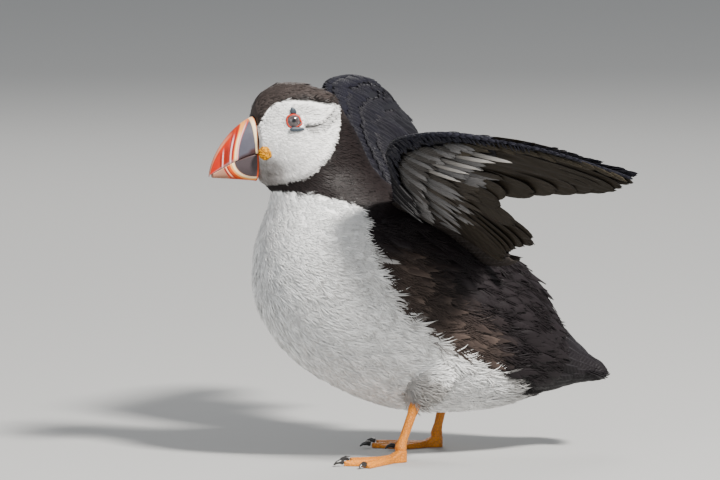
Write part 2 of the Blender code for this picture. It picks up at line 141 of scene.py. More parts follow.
# Linear colours of the plumage.
plume = {
    "breast": (0.90, 0.90, 0.89),
    "face": (0.88, 0.87, 0.855),
    # cheekShade: partly the cheek's own grey and partly painted shade, low and behind on the face and on the
    # fold over the eye
    "cheekShade": (0.36, 0.34, 0.335),
    "chin": (0.20, 0.18, 0.168),
    "cap": (0.046, 0.036, 0.033),
    "capDark": (0.012, 0.009, 0.009),
    "collar": (0.0100, 0.0064, 0.0062),
    "back": (0.0085, 0.0062, 0.0072),
    "flank": (0.058, 0.041, 0.034),
    "flankDark": (0.016, 0.0108, 0.0098),
    "vent": (0.60, 0.585, 0.57),
    "thigh": (0.34, 0.32, 0.30),
    "flankEdge": (0.125, 0.092, 0.074),
    "wing": (0.0050, 0.0046, 0.0072),
}

# The markings in side view, in millimetres.
markings = {
    # the pale cheek: an oval cut off above by the cap, which droops to the bill and dips behind the eye
    "cheek": {"forward": 88.0, "up": 205.0, "long": 49.0, "deep": 48.0},
    "cap": {"up": 205.2, "peak": 70.0, "droop": 0.0024, "dip": 2.4, "dipAt": 50.0, "dipWide": 8.0},
    "collar": {"up": 152.8, "peak": 72.0, "fall": 0.0065},
    # the dark flank sweeps back from the shoulder to the vent
    "flank": {"start": 36.0, "top": 146.0, "sweep": 100.0, "drop": 104.0, "power": 3.0},
    "tail": {"up": 42.0, "rise": 0.09, "from": -60.0},
    "crease": {"low": 61.0, "up": 190.0, "curve": 0.034, "front": 64.5, "back": 43.5},
}


def capLine(forward):
    cap = markings["cap"]
    droop = cap["droop"] * np.maximum(forward - cap["peak"], 0) ** 3
    return cap["up"] - droop - cap["dip"] * np.exp(-((forward - cap["dipAt"]) / cap["dipWide"]) ** 2)


def cheekInside(forward, up):
    # depth inside the pale cheek, negative outside
    cheek = markings["cheek"]
    round01 = np.hypot((forward - cheek["forward"]) / cheek["long"], (up - cheek["up"]) / cheek["deep"])
    return np.minimum((1 - round01) * cheek["deep"], capLine(forward) - up)


def whiteInside(forward, up):
    # depth inside the white of breast, belly and vent, negative outside
    collar, flank, tail = markings["collar"], markings["flank"], markings["tail"]
    fall = np.clip((flank["top"] - up) / flank["drop"], 0, 1)
    edge = flank["start"] - flank["sweep"] * fall ** flank["power"]
    slope = flank["sweep"] * flank["power"] * fall ** (flank["power"] - 1) / flank["drop"]
    front = (forward - edge) / np.hypot(1, slope)
    below = tail["up"] + tail["rise"] * np.maximum(tail["from"] - forward, 0) - up
    neck = collar["up"] - collar["fall"] * (forward - collar["peak"]) ** 2 - up
    return np.minimum(np.maximum(front, below), neck)


def creaseAway(forward, up):
    # distance from the crease behind the eye, and how far back along it
    crease = markings["crease"]
    line = crease["up"] + crease["curve"] * np.maximum(crease["low"] - forward, 0) ** 2
    slope = 2 * crease["curve"] * np.maximum(crease["low"] - forward, 0)
    past = np.maximum(forward - crease["front"], 0) + np.maximum(crease["back"] - forward, 0)
    share = np.clip((crease["front"] - forward) / (crease["front"] - crease["back"]), 0, 1)
    return np.hypot((up - line) / np.hypot(1, slope), past), share


def place(points, side=1):
    # (forward, left, up) rows in millimetres to the frame's metres
    points = np.asarray(points, float)
    out = np.empty_like(points)
    out[..., 0] = -points[..., 0] - origin["forward"]
    out[..., 1] = -points[..., 1] * side - origin["left"]
    out[..., 2] = points[..., 2]
    return out / 1000


def unplace(points):
    # the frame's metres back to (forward, left, up) millimetres
    points = np.asarray(points, float) * 1000
    out = np.empty_like(points)
    out[..., 0] = -(points[..., 0] + origin["forward"])
    out[..., 1] = -(points[..., 1] + origin["left"])
    out[..., 2] = points[..., 2]
    return out


def smoothRow(rows, spot):
    # Catmull-Rom value between rows at a fractional row number
    rows = np.asarray(rows, float)
    spot = min(max(spot, 0.0), len(rows) - 1.0)
    start = min(int(spot), len(rows) - 2)
    mix = spot - start
    before = rows[start - 1] if start > 0 else 2 * rows[0] - rows[1]
    after = rows[start + 2] if start + 2 < len(rows) else 2 * rows[-1] - rows[-2]
    first, second = rows[start], rows[start + 1]
    return 0.5 * (2 * first + (second - before) * mix
                  + (2 * before - 5 * first + 4 * second - after) * mix ** 2
                  + (3 * first - before - 3 * second + after) * mix ** 3)


def unit(vectors):
    vectors = np.asarray(vectors, float)
    return vectors / np.maximum(np.linalg.norm(vectors, axis=-1, keepdims=True), 1e-9)


def smoothStep(low, high, value):
    share = np.clip((np.asarray(value, float) - low) / (high - low), 0, 1)
    return share * share * (3 - 2 * share)


def meshObject(name, verts, faces):
    mesh = bpy.data.meshes.new(name)
    mesh.from_pydata([tuple(vert) for vert in verts], [], [tuple(int(i) for i in face) for face in faces])
    mesh.update()
    mesh.polygons.foreach_set("use_smooth", [True] * len(mesh.polygons))
    return linked(name, mesh)


def linked(name, mesh):
    made = bpy.data.objects.new(name, mesh)
    bpy.context.scene.collection.objects.link(made)
    return made


def fromBmesh(name, bm):
    mesh = bpy.data.meshes.new(name)
    bm.to_mesh(mesh)
    bm.free()
    return linked(name, mesh)


def setAttribute(mesh, name, values, kind="FLOAT"):
    # one value at each point of the mesh
    data = mesh.attributes.new(name, kind, "POINT")
    field = {"FLOAT": "value", "FLOAT_VECTOR": "vector", "FLOAT_COLOR": "color"}[kind]
    data.data.foreach_set(field, np.ascontiguousarray(values, dtype=np.float32).ravel())


def colourAttribute(mesh, name, colours):
    colours = np.asarray(colours, float)
    setAttribute(mesh, name, np.hstack([colours, np.ones((len(colours), 1))]), "FLOAT_COLOR")


class Wire:
    def __init__(self, sheet, socket):
        self.sheet = sheet
        self.socket = socket

    def math(self, operation, *others):
        return self.sheet.math(operation, self, *others)

    def __add__(self, other):
        return self.sheet.math("ADD", self, other)

    __radd__ = __add__

    def __sub__(self, other):
        return self.sheet.math("SUBTRACT", self, other)

    def __rsub__(self, other):
        return self.sheet.math("SUBTRACT", other, self)

    def __mul__(self, other):
        return self.sheet.math("MULTIPLY", self, other)

    __rmul__ = __mul__

    def __truediv__(self, other):
        return self.sheet.math("DIVIDE", self, other)

    def step(self, low, high):
        # smooth step from 0 to 1
        return self.sheet.node("ShaderNodeMapRange", {"interpolation_type": "SMOOTHSTEP"},
                               {"Value": self, "From Min": low, "From Max": high}, "Result")

    def bump(self, spot, width):
        # a soft peak of the given half width
        return 1 - ((self - spot).math("ABSOLUTE")).step(0, width)


class Sheet:
    def __init__(self, name):
        self.material = bpy.data.materials.new(name)
        self.material.use_nodes = True
        self.tree = self.material.node_tree
        self.surface = self.tree.nodes["Principled BSDF"]

    def node(self, kind, settings=None, inputs=None, output=0):
        made = self.tree.nodes.new(kind)
        for key, value in (settings or {}).items():
            if key == "stops":
                while len(made.color_ramp.elements) < len(value):
                    made.color_ramp.elements.new(0.5)
                for element, (spot, colour) in zip(made.color_ramp.elements, value):
                    element.position = spot
                    element.color = (*colour, 1)
            else:
                setattr(made, key, value)
        for key, value in (inputs or {}).items():
            self.feed(made.inputs[key], value)
        return Wire(self, made.outputs[output])

    def feed(self, socket, value):
        if isinstance(value, Wire):
            self.tree.links.new(value.socket, socket)
        elif socket.type == "RGBA" and len(value) == 3:
            socket.default_value = (*value, 1)
        else:
            socket.default_value = value

    def math(self, operation, *values):
        return self.node("ShaderNodeMath", {"operation": operation}, dict(enumerate(values)))

    def mix(self, share, first, second, blend="MIX"):
        # inputs 6 and 7 and output 2 of a Mix node are its colours
        return self.node("ShaderNodeMix", {"data_type": "RGBA", "blend_type": blend},
                         {0: share, 6: first, 7: second}, 2)

    def shade(self, colour, tone):
        # a colour made lighter or darker by a number
        grey = self.node("ShaderNodeCombineColor", None, {"Red": tone, "Green": tone, "Blue": tone}, "Color")
        return self.mix(1.0, colour, grey, "MULTIPLY")

    def attribute(self, name, output="Fac"):
        return self.node("ShaderNodeAttribute", {"attribute_name": name}, None, output)

    def object(self):
        return self.node("ShaderNodeTexCoord", None, None, "Object")

    def noise(self, scale, detail):
        return self.node("ShaderNodeTexNoise", None,
                         {"Vector": self.object(), "Scale": scale, "Detail": detail}, "Fac")

    def bumpNormal(self, height, strength, distance, normal=None):
        inputs = {"Height": height, "Strength": strength, "Distance": distance}
        if normal:
            inputs["Normal"] = normal
        return self.node("ShaderNodeBump", None, inputs, "Normal")

    def set(self, **values):
        names = {"colour": "Base Color", "roughness": "Roughness", "normal": "Normal", "coat": "Coat Weight",
                 "specular": "Specular IOR Level"}
        for key, value in values.items():
            self.feed(self.surface.inputs[names[key]], value)
        return self.material


def bodyRings(grow):
    # rings down the body from a small cap on the crown, each an oval between its front and its back
    count = body["segments"]
    angle = 2 * math.pi * np.arange(count) / count
    capF, capU = body["crown"]
    rings = [np.column_stack([capF + 4 * np.cos(angle), 3 * np.sin(angle), np.full(count, capU + grow)])]
    steps = (len(body["levels"]) - 1) * body["steps"]
    for step in range(steps + 1):
        frontF, frontU, backF, backU, half, widest, taper = smoothRow(body["levels"], step / body["steps"])
        front, back = np.array((frontF, frontU)), np.array((backF, backU))
        length = np.linalg.norm(front - back)
        along = (front - back) / length
        front, back, length = front + along * grow, back - along * grow, length + 2 * grow
        hub = back + along * length * widest
        reach = np.where(np.cos(angle) > 0, length * (1 - widest), length * widest)
        middle = hub + along * (reach * np.cos(angle))[:, None]
        slim = 1 - taper * np.maximum(np.cos(angle), 0) ** 1.5
        rings.append(np.column_stack([middle[:, 0], (half + grow) * slim * np.sin(angle), middle[:, 1]]))
    return rings


def loft(rings, side=1):
    # closed surface through rings of equal length, with a hub at each end
    rings = [np.asarray(ring, float) for ring in rings]
    count = len(rings[0])
    verts = np.vstack(rings + [rings[0].mean(axis=0), rings[-1].mean(axis=0)])
    faces = []
    for row in range(len(rings) - 1):
        for i in range(count):
            j = (i + 1) % count
            faces.append((row * count + i, row * count + j, (row + 1) * count + j, (row + 1) * count + i))
    last = (len(rings) - 1) * count
    for i in range(count):
        j = (i + 1) % count
        faces.append((j, i, len(verts) - 2))
        faces.append((last + i, last + j, len(verts) - 1))
    return place(verts, side), faces


def orient(obj):
    bm = bmesh.new()
    bm.from_mesh(obj.data)
    bmesh.ops.remove_doubles(bm, verts=bm.verts, dist=1e-6)
    bmesh.ops.recalc_face_normals(bm, faces=bm.faces)
    bm.to_mesh(obj.data)
    bm.free()


def tubeRings(stops):
    # rings round a path of ((forward, left, up), radius) stops
    points = [np.array(point, float) for point, radius in stops]
    segments = 20
    rings = []
    for index, (point, radius) in enumerate(stops):
        axis = unit(points[min(index + 1, len(points) - 1)] - points[max(index - 1, 0)])
        across = unit(np.cross(axis, (0.02, 1, 0.03)))
        other = np.cross(axis, across)
        angle = 2 * math.pi * np.arange(segments) / segments
        spokes = np.outer(np.cos(angle), across) + np.outer(np.sin(angle), other)
        rings.append(points[index] + radius * spokes)
    return rings


def wingChord(wing, along):
    # the arm's feathers share one heading; the hand's shorten to the tip and turn square to the edge
    spot = along * (len(wing["lead"]) - 1)
    ahead = unit(smoothRow(wing["lead"], spot + 0.25) - smoothRow(wing["lead"], spot - 0.25))
    hand = float(smoothStep(*wingShape["handPlace"], along))
    full = float(smoothStep(0.0, wingShape["armFull"], along))
    arm = wingShape["rootReach"] + (wingShape["armReach"] - wingShape["rootReach"]) * full
    reach = arm * (1 - hand) + wingShape["handReach"] * (1 - along) * hand
    back = unit(np.array(wing["rootBack"]) * (1 - full) + np.array(wing["back"]) * full)
    turned = unit(back - wingShape["fan"] * hand * (back @ ahead) * ahead)
    return turned * max(reach, wingShape["tipReach"]), ahead


def wingPoint(wing, along, across, lift=0.0):
    lead = smoothRow(wing["lead"], along * (len(wing["lead"]) - 1))
    camber = wingShape["camber"] * 4 * across * (1 - across) * (1 - along * 0.7)
    return lead + wingChord(wing, along)[0] * across + wingNormal(wing, along) * (camber + lift)


def wingNormal(wing, along):
    normal = unit(np.cross(*wingChord(wing, along)))
    return -normal if normal[2] < 0 else normal


def fleshReach(along):
    return wingShape["fleshReach"] - wingShape["fleshTaper"] * along


def fleshThick(along, name):
    tip, more = wingShape[name]
    return tip + more * (1 - along) ** 1.2


def wingCore(wing):
    # the flesh of the wing: arm, web and hand, well inside the feathers
    steps, start = wingShape["steps"], wingShape["fleshStart"]
    rings = []
    for step in range(-wingShape["bodySteps"], steps + 1):
        # the first rings reach into the body
        along = start + (wingShape["fleshEnd"] - start) * max(step, 0) / steps
        inward = np.array((0.0, min(step, 0) * wingShape["bodyStep"], 0.0))
        thick, reach = fleshThick(along, "fleshThick"), fleshReach(along)
        upper, lower = [], []
        for spot in range(9):
            across = wingShape["fleshFront"] + reach * spot / 8
            half = 0.5 * max(thick * math.sqrt(math.sin(math.pi * (spot + 0.6) / 9.4)), 2.2)
            upper.append(wingPoint(wing, along, across, half) + inward)
            lower.append(wingPoint(wing, along, across, -half) + inward)
        rings.append(np.array(upper + lower[::-1]))
    return rings


legs = {
    "left": {"side": 1, "knee": (-4, 31, 46), "heel": (3, 32, 32), "ankle": (12, 33, 9), "turn": 12},
    "right": {"side": -1, "knee": (-30, 29, 45), "heel": (-39, 31, 31), "ankle": (-34, 32, 9), "turn": 12},
}


def thighStops(leg):
    knee, heel = np.array(leg["knee"], float), np.array(leg["heel"], float)
    reach = heel - knee
    return [(knee - 0.5 * reach, 13.0), (knee, 12.2), (knee + 0.45 * reach, 8.8), (knee + 0.8 * reach, 5.2),
            (knee + 1.0 * reach, 3.4)]


def wobble(points, scale, seed):
    # smooth repeatable unevenness between -1 and 1
    rng = np.random.default_rng(seed)
    total = np.zeros(len(points))
    for octave in range(4):
        way = unit(rng.normal(size=3)) * scale * (1.5 ** octave)
        total += np.sin(points @ way + rng.uniform(0, 6.28))
    return total / 4


# What a marking fades between, in millimetres: along the body, up it, to its side, or in from an edge.
fades = {
    "nape": (52, 66),
    "collarAlong": (-15, 20), "collarUp": (140, 150),
    "flankIn": (44, 20), "flankUp": (128, 116), "flankAlong": (-48, -26), "flankAside": (20, 34),
    "flankBrown": (30, 8), "flankTips": (40, 6), "flankTipsUp": (84, 104),
    "whiteEdge": (-0.8, 0.2), "ventAlong": (-35, -60), "whiteRim": (4.5, 1.0), "whiteRimUp": (112, 100),
    "capUp": (190, 200), "capAlong": (28, 44), "capRim": (-3.2, -0.4), "capRimAlong": (78, 62),
    "faceEdge": (-0.25, 0.25), "jowlUp": (186, 158), "jowlAlong": (46, 58), "cheekBack": (50, 42),
    "cheekBackUp": (200, 180), "cheekShade": (17, 4),
    "chin": (11.5, 5.5), "thigh": (16, 10),
    "gloss": (0.12, 0.02),              # by how light the colour is
}
spots = {
    "nape": {"half": 8.5, "widen": 40},
    # painted shade: a soft grey on the fold above the crease, behind and over the eye
    "foldShade": {"forward": 61, "up": 200, "long": 5.0, "deep": 3.4},
    "chin": {"forward": 84.0, "up": 164.0, "squash": 0.95, "rough": 1.2},
    # creaseWide: half width of the painted shade along the crease
    "creaseWide": 1.2,
    "smallRuffle": 0.35, "ruffle": 1.9,     # how uneven the white's edge is: at the collar, and below it
}


def fade(name, value):
    return smoothStep(*fades[name], value)


def markSkin(points, onWing):
    # colour, paler tips and gloss at each place, the depths inside cheek and white, and the flank's share
    forward, left, up = points[:, 0], points[:, 1], points[:, 2]
    uneven = wobble(points, 0.35, 3) * 0.9 + wobble(points, 0.9, 4) * 0.5
    # the cheeks stop short of the nape
    nape = np.abs(left) - spots["nape"]["half"] + spots["nape"]["widen"] * fade("nape", forward)
    disc = np.minimum(cheekInside(forward, up), nape) + 0.12 * uneven
    white = whiteInside(forward, up)
    atCollar = (forward > 20) & (up > 140)
    white = white + uneven * np.where(atCollar, spots["smallRuffle"], spots["ruffle"])

    def blend(base, name, share):
        return base * (1 - share[:, None]) + np.array(plume[name]) * share[:, None]

    colour = np.tile(np.array(plume["back"]), (len(points), 1))
    colour = blend(colour, "collar", fade("collarAlong", forward) * fade("collarUp", up))
    flank = fade("flankIn", -white) * fade("flankUp", up) * fade("flankAlong", forward)
    flank = flank * fade("flankAside", np.abs(left))
    colour = blend(colour, "flankDark", flank)
    patchy = 0.6 + 0.4 * wobble(points, 0.16, 8)
    colour = blend(colour, "flank", flank * fade("flankBrown", -white) * patchy)
    rim = fade("whiteEdge", white)
    colour = blend(colour, "breast", rim)
    colour = blend(colour, "vent", rim * fade("ventAlong", forward) * 0.6)
    colour = blend(colour, "flankEdge", rim * fade("whiteRim", white) * fade("whiteRimUp", up) * 0.35)
    # the cap is browner on top and blackish where it ends over the cheek
    cap = fade("capUp", up) * fade("capAlong", forward)
    colour = blend(colour, "cap", cap)
    colour = blend(colour, "capDark", cap * fade("capRim", disc) * fade("capRimAlong", forward) * 0.85)
    rim = fade("faceEdge", disc)
    colour = blend(colour, "face", rim)
    # the cheek greys toward its lower and rear edges: partly the face's own grey, partly painted shade where
    # light from above falls less
    lower = fade("jowlUp", up) * fade("jowlAlong", forward)
    lower = lower + 0.6 * fade("cheekBack", forward) * fade("cheekBackUp", up)
    colour = blend(colour, "cheekShade", rim * 0.5 * np.clip(lower, 0, 1) * fade("cheekShade", disc))
    # painted shade on the fold above the crease, laid in the cheek's grey
    spot = spots["foldShade"]
    across, above = (forward - spot["forward"]) / spot["long"], (up - spot["up"]) / spot["deep"]
    colour = blend(colour, "cheekShade", rim * 0.35 * np.exp(-across ** 2 - above ** 2))
    away, share = creaseAway(forward, up)
    # painted shade: a dark line in the crease behind the eye, in the cap's dark colour
    colour = blend(colour, "capDark", rim * np.exp(-(away / spots["creaseWide"]) ** 2) * (0.97 - 0.3 * share))
    spot = spots["chin"]
    round01 = np.hypot(forward - spot["forward"], (up - spot["up"]) * spot["squash"]) + spot["rough"] * uneven
    colour = blend(colour, "chin", rim * (0.80 + 0.2 * uneven) * fade("chin", round01))
    for leg in legs.values():
        spot = (np.array(leg["knee"], float) + np.array(leg["heel"], float)) / 2
        near = np.linalg.norm((points - spot * (1, leg["side"], 1)) * (1, 1, 0.9), axis=1)
        colour = blend(colour, "thigh", 0.85 * fade("thigh", near + uneven))
    colour = np.where(onWing[:, None], np.array(plume["wing"]), colour)
    colour = np.clip(colour, 0.004, 0.95)
    edge = flank * fade("flankTips", -white) * (0.4 + 0.6 * fade("flankTipsUp", up))
    return colour, edge, fade("gloss", colour.mean(axis=1)), disc, white, flank


def buildSkin():
    parts = [loft(bodyRings(-body["coatDepth"]))]
    for wing in wings.values():
        parts.append(loft(wingCore(wing), wing["side"]))
    for leg in legs.values():
        parts.append(loft(tubeRings(thighStops(leg)), leg["side"]))
    bm = bmesh.new()
    for verts, faces in parts:
        made = [bm.verts.new(tuple(vert)) for vert in verts]
        for face in faces:
            bm.faces.new([made[i] for i in face])
    bmesh.ops.recalc_face_normals(bm, faces=bm.faces)
    skin = welded(fromBmesh("skin", bm), body["voxel"], 6)
    refineHead(skin)
    sculptHead(skin)
    return skin


def welded(obj, voxel, settle):
    # one even surface over everything in the mesh, its steps smoothed out
    step = obj.modifiers.new("weld", "REMESH")
    step.mode = "VOXEL"
    step.voxel_size = voxel
    step.use_smooth_shade = True
    smooth = obj.modifiers.new("settle", "SMOOTH")
    smooth.factor = 0.5
    smooth.iterations = settle
    return applied(obj)


def refineHead(skin):
    # finer faces on the head, for its crease, brow and sockets
    points = unplace(pointsOf(skin.data))
    head = (points[:, 2] > 156) & (points[:, 0] > 26) & (np.abs(points[:, 1]) < 30)
    bm = bmesh.new()
    bm.from_mesh(skin.data)
    bm.verts.ensure_lookup_table()
    edges = [edge for edge in bm.edges if head[edge.verts[0].index] and head[edge.verts[1].index]]
    bmesh.ops.subdivide_edges(bm, edges=edges, cuts=2, use_grid_fill=True)
    for face in bm.faces:
        face.smooth = True
    bm.to_mesh(skin.data)
    bm.free()


def applied(obj):
    # the evaluated shape as a plain mesh on the same object
    graph = bpy.context.evaluated_depsgraph_get()
    mesh = bpy.data.meshes.new_from_object(obj.evaluated_get(graph), preserve_all_data_layers=True,
                                           depsgraph=graph)
    obj.modifiers.clear()
    obj.data = mesh
    mesh.name = obj.name
    return obj


def pointsOf(mesh):
    flat = np.empty(len(mesh.vertices) * 3, np.float32)
    mesh.vertices.foreach_get("co", flat)
    return flat.reshape(-1, 3).astype(float)


def normalsOf(mesh):
    flat = np.empty(len(mesh.vertices) * 3, np.float32)
    mesh.vertex_normals.foreach_get("vector", flat)
    return flat.reshape(-1, 3).astype(float)


# The head's relief, in millimetres. crease and socket are a depth and a width; lidAbove, jowl and socketRim
# are a height, a distance and a width; the other pairs are what the relief fades between.
relief = {
    "headUp": (150, 160), "headAlong": (20, 34), "headHalf": 30, "parting": 4,
    "crease": (1.3, 0.8), "lidAbove": (0.45, 2.2, 1.6),
    "browOut": (0.35, -0.55), "browIn": (-11, -1.5), "browFront": (80, 60), "browAlong": (36, 48),
    "browUp": (190, 197),
    "jowl": (0.6, 2.2, 2.2), "jowlUp": (190, 172),
    "socket": (1.3, 3.5), "socketRim": (0.8, 5.0, 1.9),
    "billSoft": 1.2, "billGap": 0.15, "billFoot": 158,
}


def sculptHead(skin):
    # flat behind the bill, sockets round the eyes, the crease behind them and the brow over the face
    points = unplace(pointsOf(skin.data))
    normals = normalsOf(skin.data) * (-1, -1, 1)
    forward, left, up = points[:, 0], points[:, 1], points[:, 2]

    def step(name, value):
        return smoothStep(*relief[name], value)

    def bulge(name, away):
        high, spot, wide = relief[name]
        return np.exp(-((away - spot) / wide) ** 2) * high

    head = step("headUp", up) * step("headAlong", forward) * (np.abs(left) < relief["headHalf"])
    away, share = creaseAway(forward, up)
    deep, wide = relief["crease"]
    crease = np.exp(-(away / wide) ** 2) * (deep - 0.8 * share)
    above = bulge("lidAbove", away) * (1 - 0.5 * share)
    disc = cheekInside(forward, up)
    cap = capLine(forward) - up
    brow = step("browOut", cap) * step("browIn", cap) * (0.5 + 0.9 * step("browFront", forward))
    brow = brow * step("browAlong", forward) * step("browUp", up)
    jowl = bulge("jowl", disc) * step("jowlUp", up)
    fromEye = np.hypot(forward - eye["forward"], up - eye["up"])
    deep, wide = relief["socket"]
    socket = -np.exp(-(fromEye / wide) ** 4) * deep + bulge("socketRim", fromEye)
    outward = head * (np.abs(left) > relief["parting"]) * (above - crease + brow + jowl + socket)
    points = points + normals * outward[:, None]
    # rounded in toward the base of the bill
    planeF, planeU, lean = body["billPlane"]
    soft = relief["billSoft"]
    limit = planeF + (points[:, 2] - planeU) * lean + relief["billGap"]
    past = np.maximum(points[:, 0] - limit + soft, 0)
    isFace = (points[:, 2] > relief["billFoot"]) & (past > 0)
    points[:, 0] = np.where(isFace, limit - soft * np.exp(-past / soft), points[:, 0])
    skin.data.vertices.foreach_set("co", place(points).astype(np.float32).ravel())
    skin.data.update()


def unwrap(obj):
    bpy.context.view_layer.objects.active = obj
    obj.select_set(True)
    obj.data.uv_layers.new(name="OFBake")
    bpy.ops.object.mode_set(mode="EDIT")
    bpy.ops.mesh.select_all(action="SELECT")
    bpy.ops.uv.smart_project(angle_limit=1.15, island_margin=0.002)
    bpy.ops.object.mode_set(mode="OBJECT")
    obj.select_set(False)


# Limits between the coats, and what their length fades between, in millimetres. flank, creaseEnd, lieFan
# and headLean are shares.
growth = {
    "wingOff": 2.2,                     # farther from the trunk than this is wing or thigh
    "thighTop": 90, "wingFoot": 120, "soleTop": 16,
    "headUp": (152, 172), "headFoot": 156, "headBack": 28, "headHalf": 32, "headLean": 0.1,
    "lieUp": 190, "lieFan": 0.85,       # above this height the lie runs straight back
    "creaseWide": 0.6, "creaseEnd": 0.9, "crownHalf": 8, "billSkirt": 0.8, "billAside": 0.6,
    "faceIn": (0.25, 0.9), "faceTurn": 188, "faceAhead": (3.0, 2.4), "capOut": 0.3,
    "pale": -0.3, "gap": -1.5, "flank": 0.12, "flankFoot": 60, "flankBack": -20,
    "collarFoot": 140, "collarBack": 6, "ventAlong": (-94, -40), "rump": -60,
    "faceLong": (6, 34), "eyeLong": (4.5, 9), "capLong": (88, 60), "collarLong": (170, 150),
    "rumpLong": (-84, -100), "breastLong": (150, 80), "edgeLong": (9, 1), "edgeLongUp": (128, 105),
}


def featherLie(points, normals, onWing):
    # away from the bill on the head, toward the tail elsewhere, always along the skin
    toTail = unit(np.array(body["tail"]) - points)
    # straight back above the eye, fanning out below it
    above = growth["lieFan"] * np.maximum(points[:, 2] - growth["lieUp"], 0)
    fan = np.column_stack([np.zeros((len(points), 2)), above])
    fromBill = unit(points - np.array(body["beak"]) - fan)
    head = smoothStep(*growth["headUp"], points[:, 2]) * (np.abs(points[:, 1]) < growth["headHalf"])
    wing = (points[:, 2] > growth["wingFoot"]) & onWing
    lie = toTail * (1 - head[:, None]) + fromBill * head[:, None]
    lie = np.where(wing[:, None], unit(body["wingLie"]), lie)
    lie[:, :2] *= -1
    return unit(lie - normals * np.sum(lie * normals, axis=1, keepdims=True))


def coatZones(forward, left, up, onWing, disc, white, flank):
    # which coat grows where
    g = growth
    planeF, planeU, lean = body["billPlane"]
    fromEye = np.hypot(forward - eye["forward"], up - eye["up"])
    away, share = creaseAway(forward, up)
    offCrease = (away > g["creaseWide"]) | (share > g["creaseEnd"])
    clear = ((fromEye > eye["clear"]) & offCrease) | (left < g["crownHalf"])
    nose = forward > planeF + (up - planeU) * lean - g["billSkirt"]
    clear &= ~(nose & (up > bill["foot"]) & (left < bill["half"] - g["billAside"]))
    nape = g["headBack"] - (up - g["headFoot"]) * g["headLean"]
    headZone = (up > g["headFoot"]) & ~onWing & (forward > nape)
    ahead, above = g["faceAhead"]
    face = headZone & (disc > np.where(up > g["faceTurn"], g["faceIn"][1], g["faceIn"][0])) & clear
    face &= cheekInside(forward - ahead, up + above) > 0.0
    cap = headZone & (disc <= -g["capOut"]) & clear
    pale = ~headZone & (white > g["pale"]) & ~onWing & (up > g["soleTop"])
    between = (white > g["gap"]) & (white <= g["pale"]) & ~headZone
    low = (up < g["flankFoot"]) & (forward > g["flankBack"])
    flankZone = ~headZone & ~pale & ~between & ~onWing & ((flank > g["flank"]) | low)
    dark = ~headZone & ~pale & ~between & ~flankZone & ~onWing
    collar = dark & (up > g["collarFoot"]) & (forward > g["collarBack"])
    rear, front = g["ventAlong"]
    vent = pale & (forward < front) & (forward > rear)
    return {"face": face, "cap": cap | collar, "breast": pale & (forward >= front), "vent": vent,
            "flank": flankZone, "back": dark & ~collar}


def dressSkin(skin):
    mesh = skin.data
    points = unplace(pointsOf(mesh))
    normals = normalsOf(mesh)
    trunkVerts, trunkFaces = loft(bodyRings(-body["coatDepth"]))
    trunk = BVHTree.FromPolygons([tuple(v) for v in trunkVerts], trunkFaces)
    fromTrunk = np.array([trunk.find_nearest(Vector(co))[3] for co in pointsOf(mesh)]) * 1000
    onWing = (fromTrunk > growth["wingOff"]) & (points[:, 2] >= growth["thighTop"])
    colour, edge, gloss, disc, white, flank = markSkin(points, onWing)
    colourAttribute(mesh, "plume", colour)
    setAttribute(mesh, "edge", edge)
    setAttribute(mesh, "gloss", gloss)
    setAttribute(mesh, "skinNormal", normals, "FLOAT_VECTOR")
    setAttribute(mesh, "lie", featherLie(points, normals, onWing), "FLOAT_VECTOR")
    forward, left, up = points[:, 0], np.abs(points[:, 1]), points[:, 2]
    zones = coatZones(forward, left, up, onWing, disc, white, flank)
    for name, zone in zones.items():
        for half, inHalf in (("Left", points[:, 1] > 0), ("Right", points[:, 1] <= 0)):
            setAttribute(mesh, f"zone_{name}{half}", zone & inHalf)
    # how long each coat grows
    face, cap, breast, dark = (zones[name] for name in ("face", "cap", "breast", "back"))
    planeF, planeU = body["billPlane"][:2]
    fromBill = np.hypot(forward - planeF, up - planeU)
    fromEye = np.hypot(forward - eye["forward"], up - eye["up"])

    def longer(name, value):
        return smoothStep(*growth[name], value)

    grow = np.ones(len(points))
    grow = np.where(face, 0.62 + 0.6 * longer("faceLong", fromBill), grow)
    grow = np.where(face, grow * (0.6 + 0.4 * longer("eyeLong", fromEye)), grow)
    grow = np.where(cap, 0.7 + 0.5 * longer("capLong", forward) + 0.2 * longer("collarLong", up), grow)
    grow = np.where(dark & (forward < growth["rump"]), 1 - 0.45 * longer("rumpLong", forward), grow)
    grow = np.where(breast, 0.62 + 0.6 * longer("breastLong", up), grow)
    grow = np.where(breast, grow + 0.42 * longer("edgeLong", white) * longer("edgeLongUp", up), grow)
    setAttribute(mesh, "grow", grow)
    return {name: int(zone.sum()) for name, zone in zones.items()}


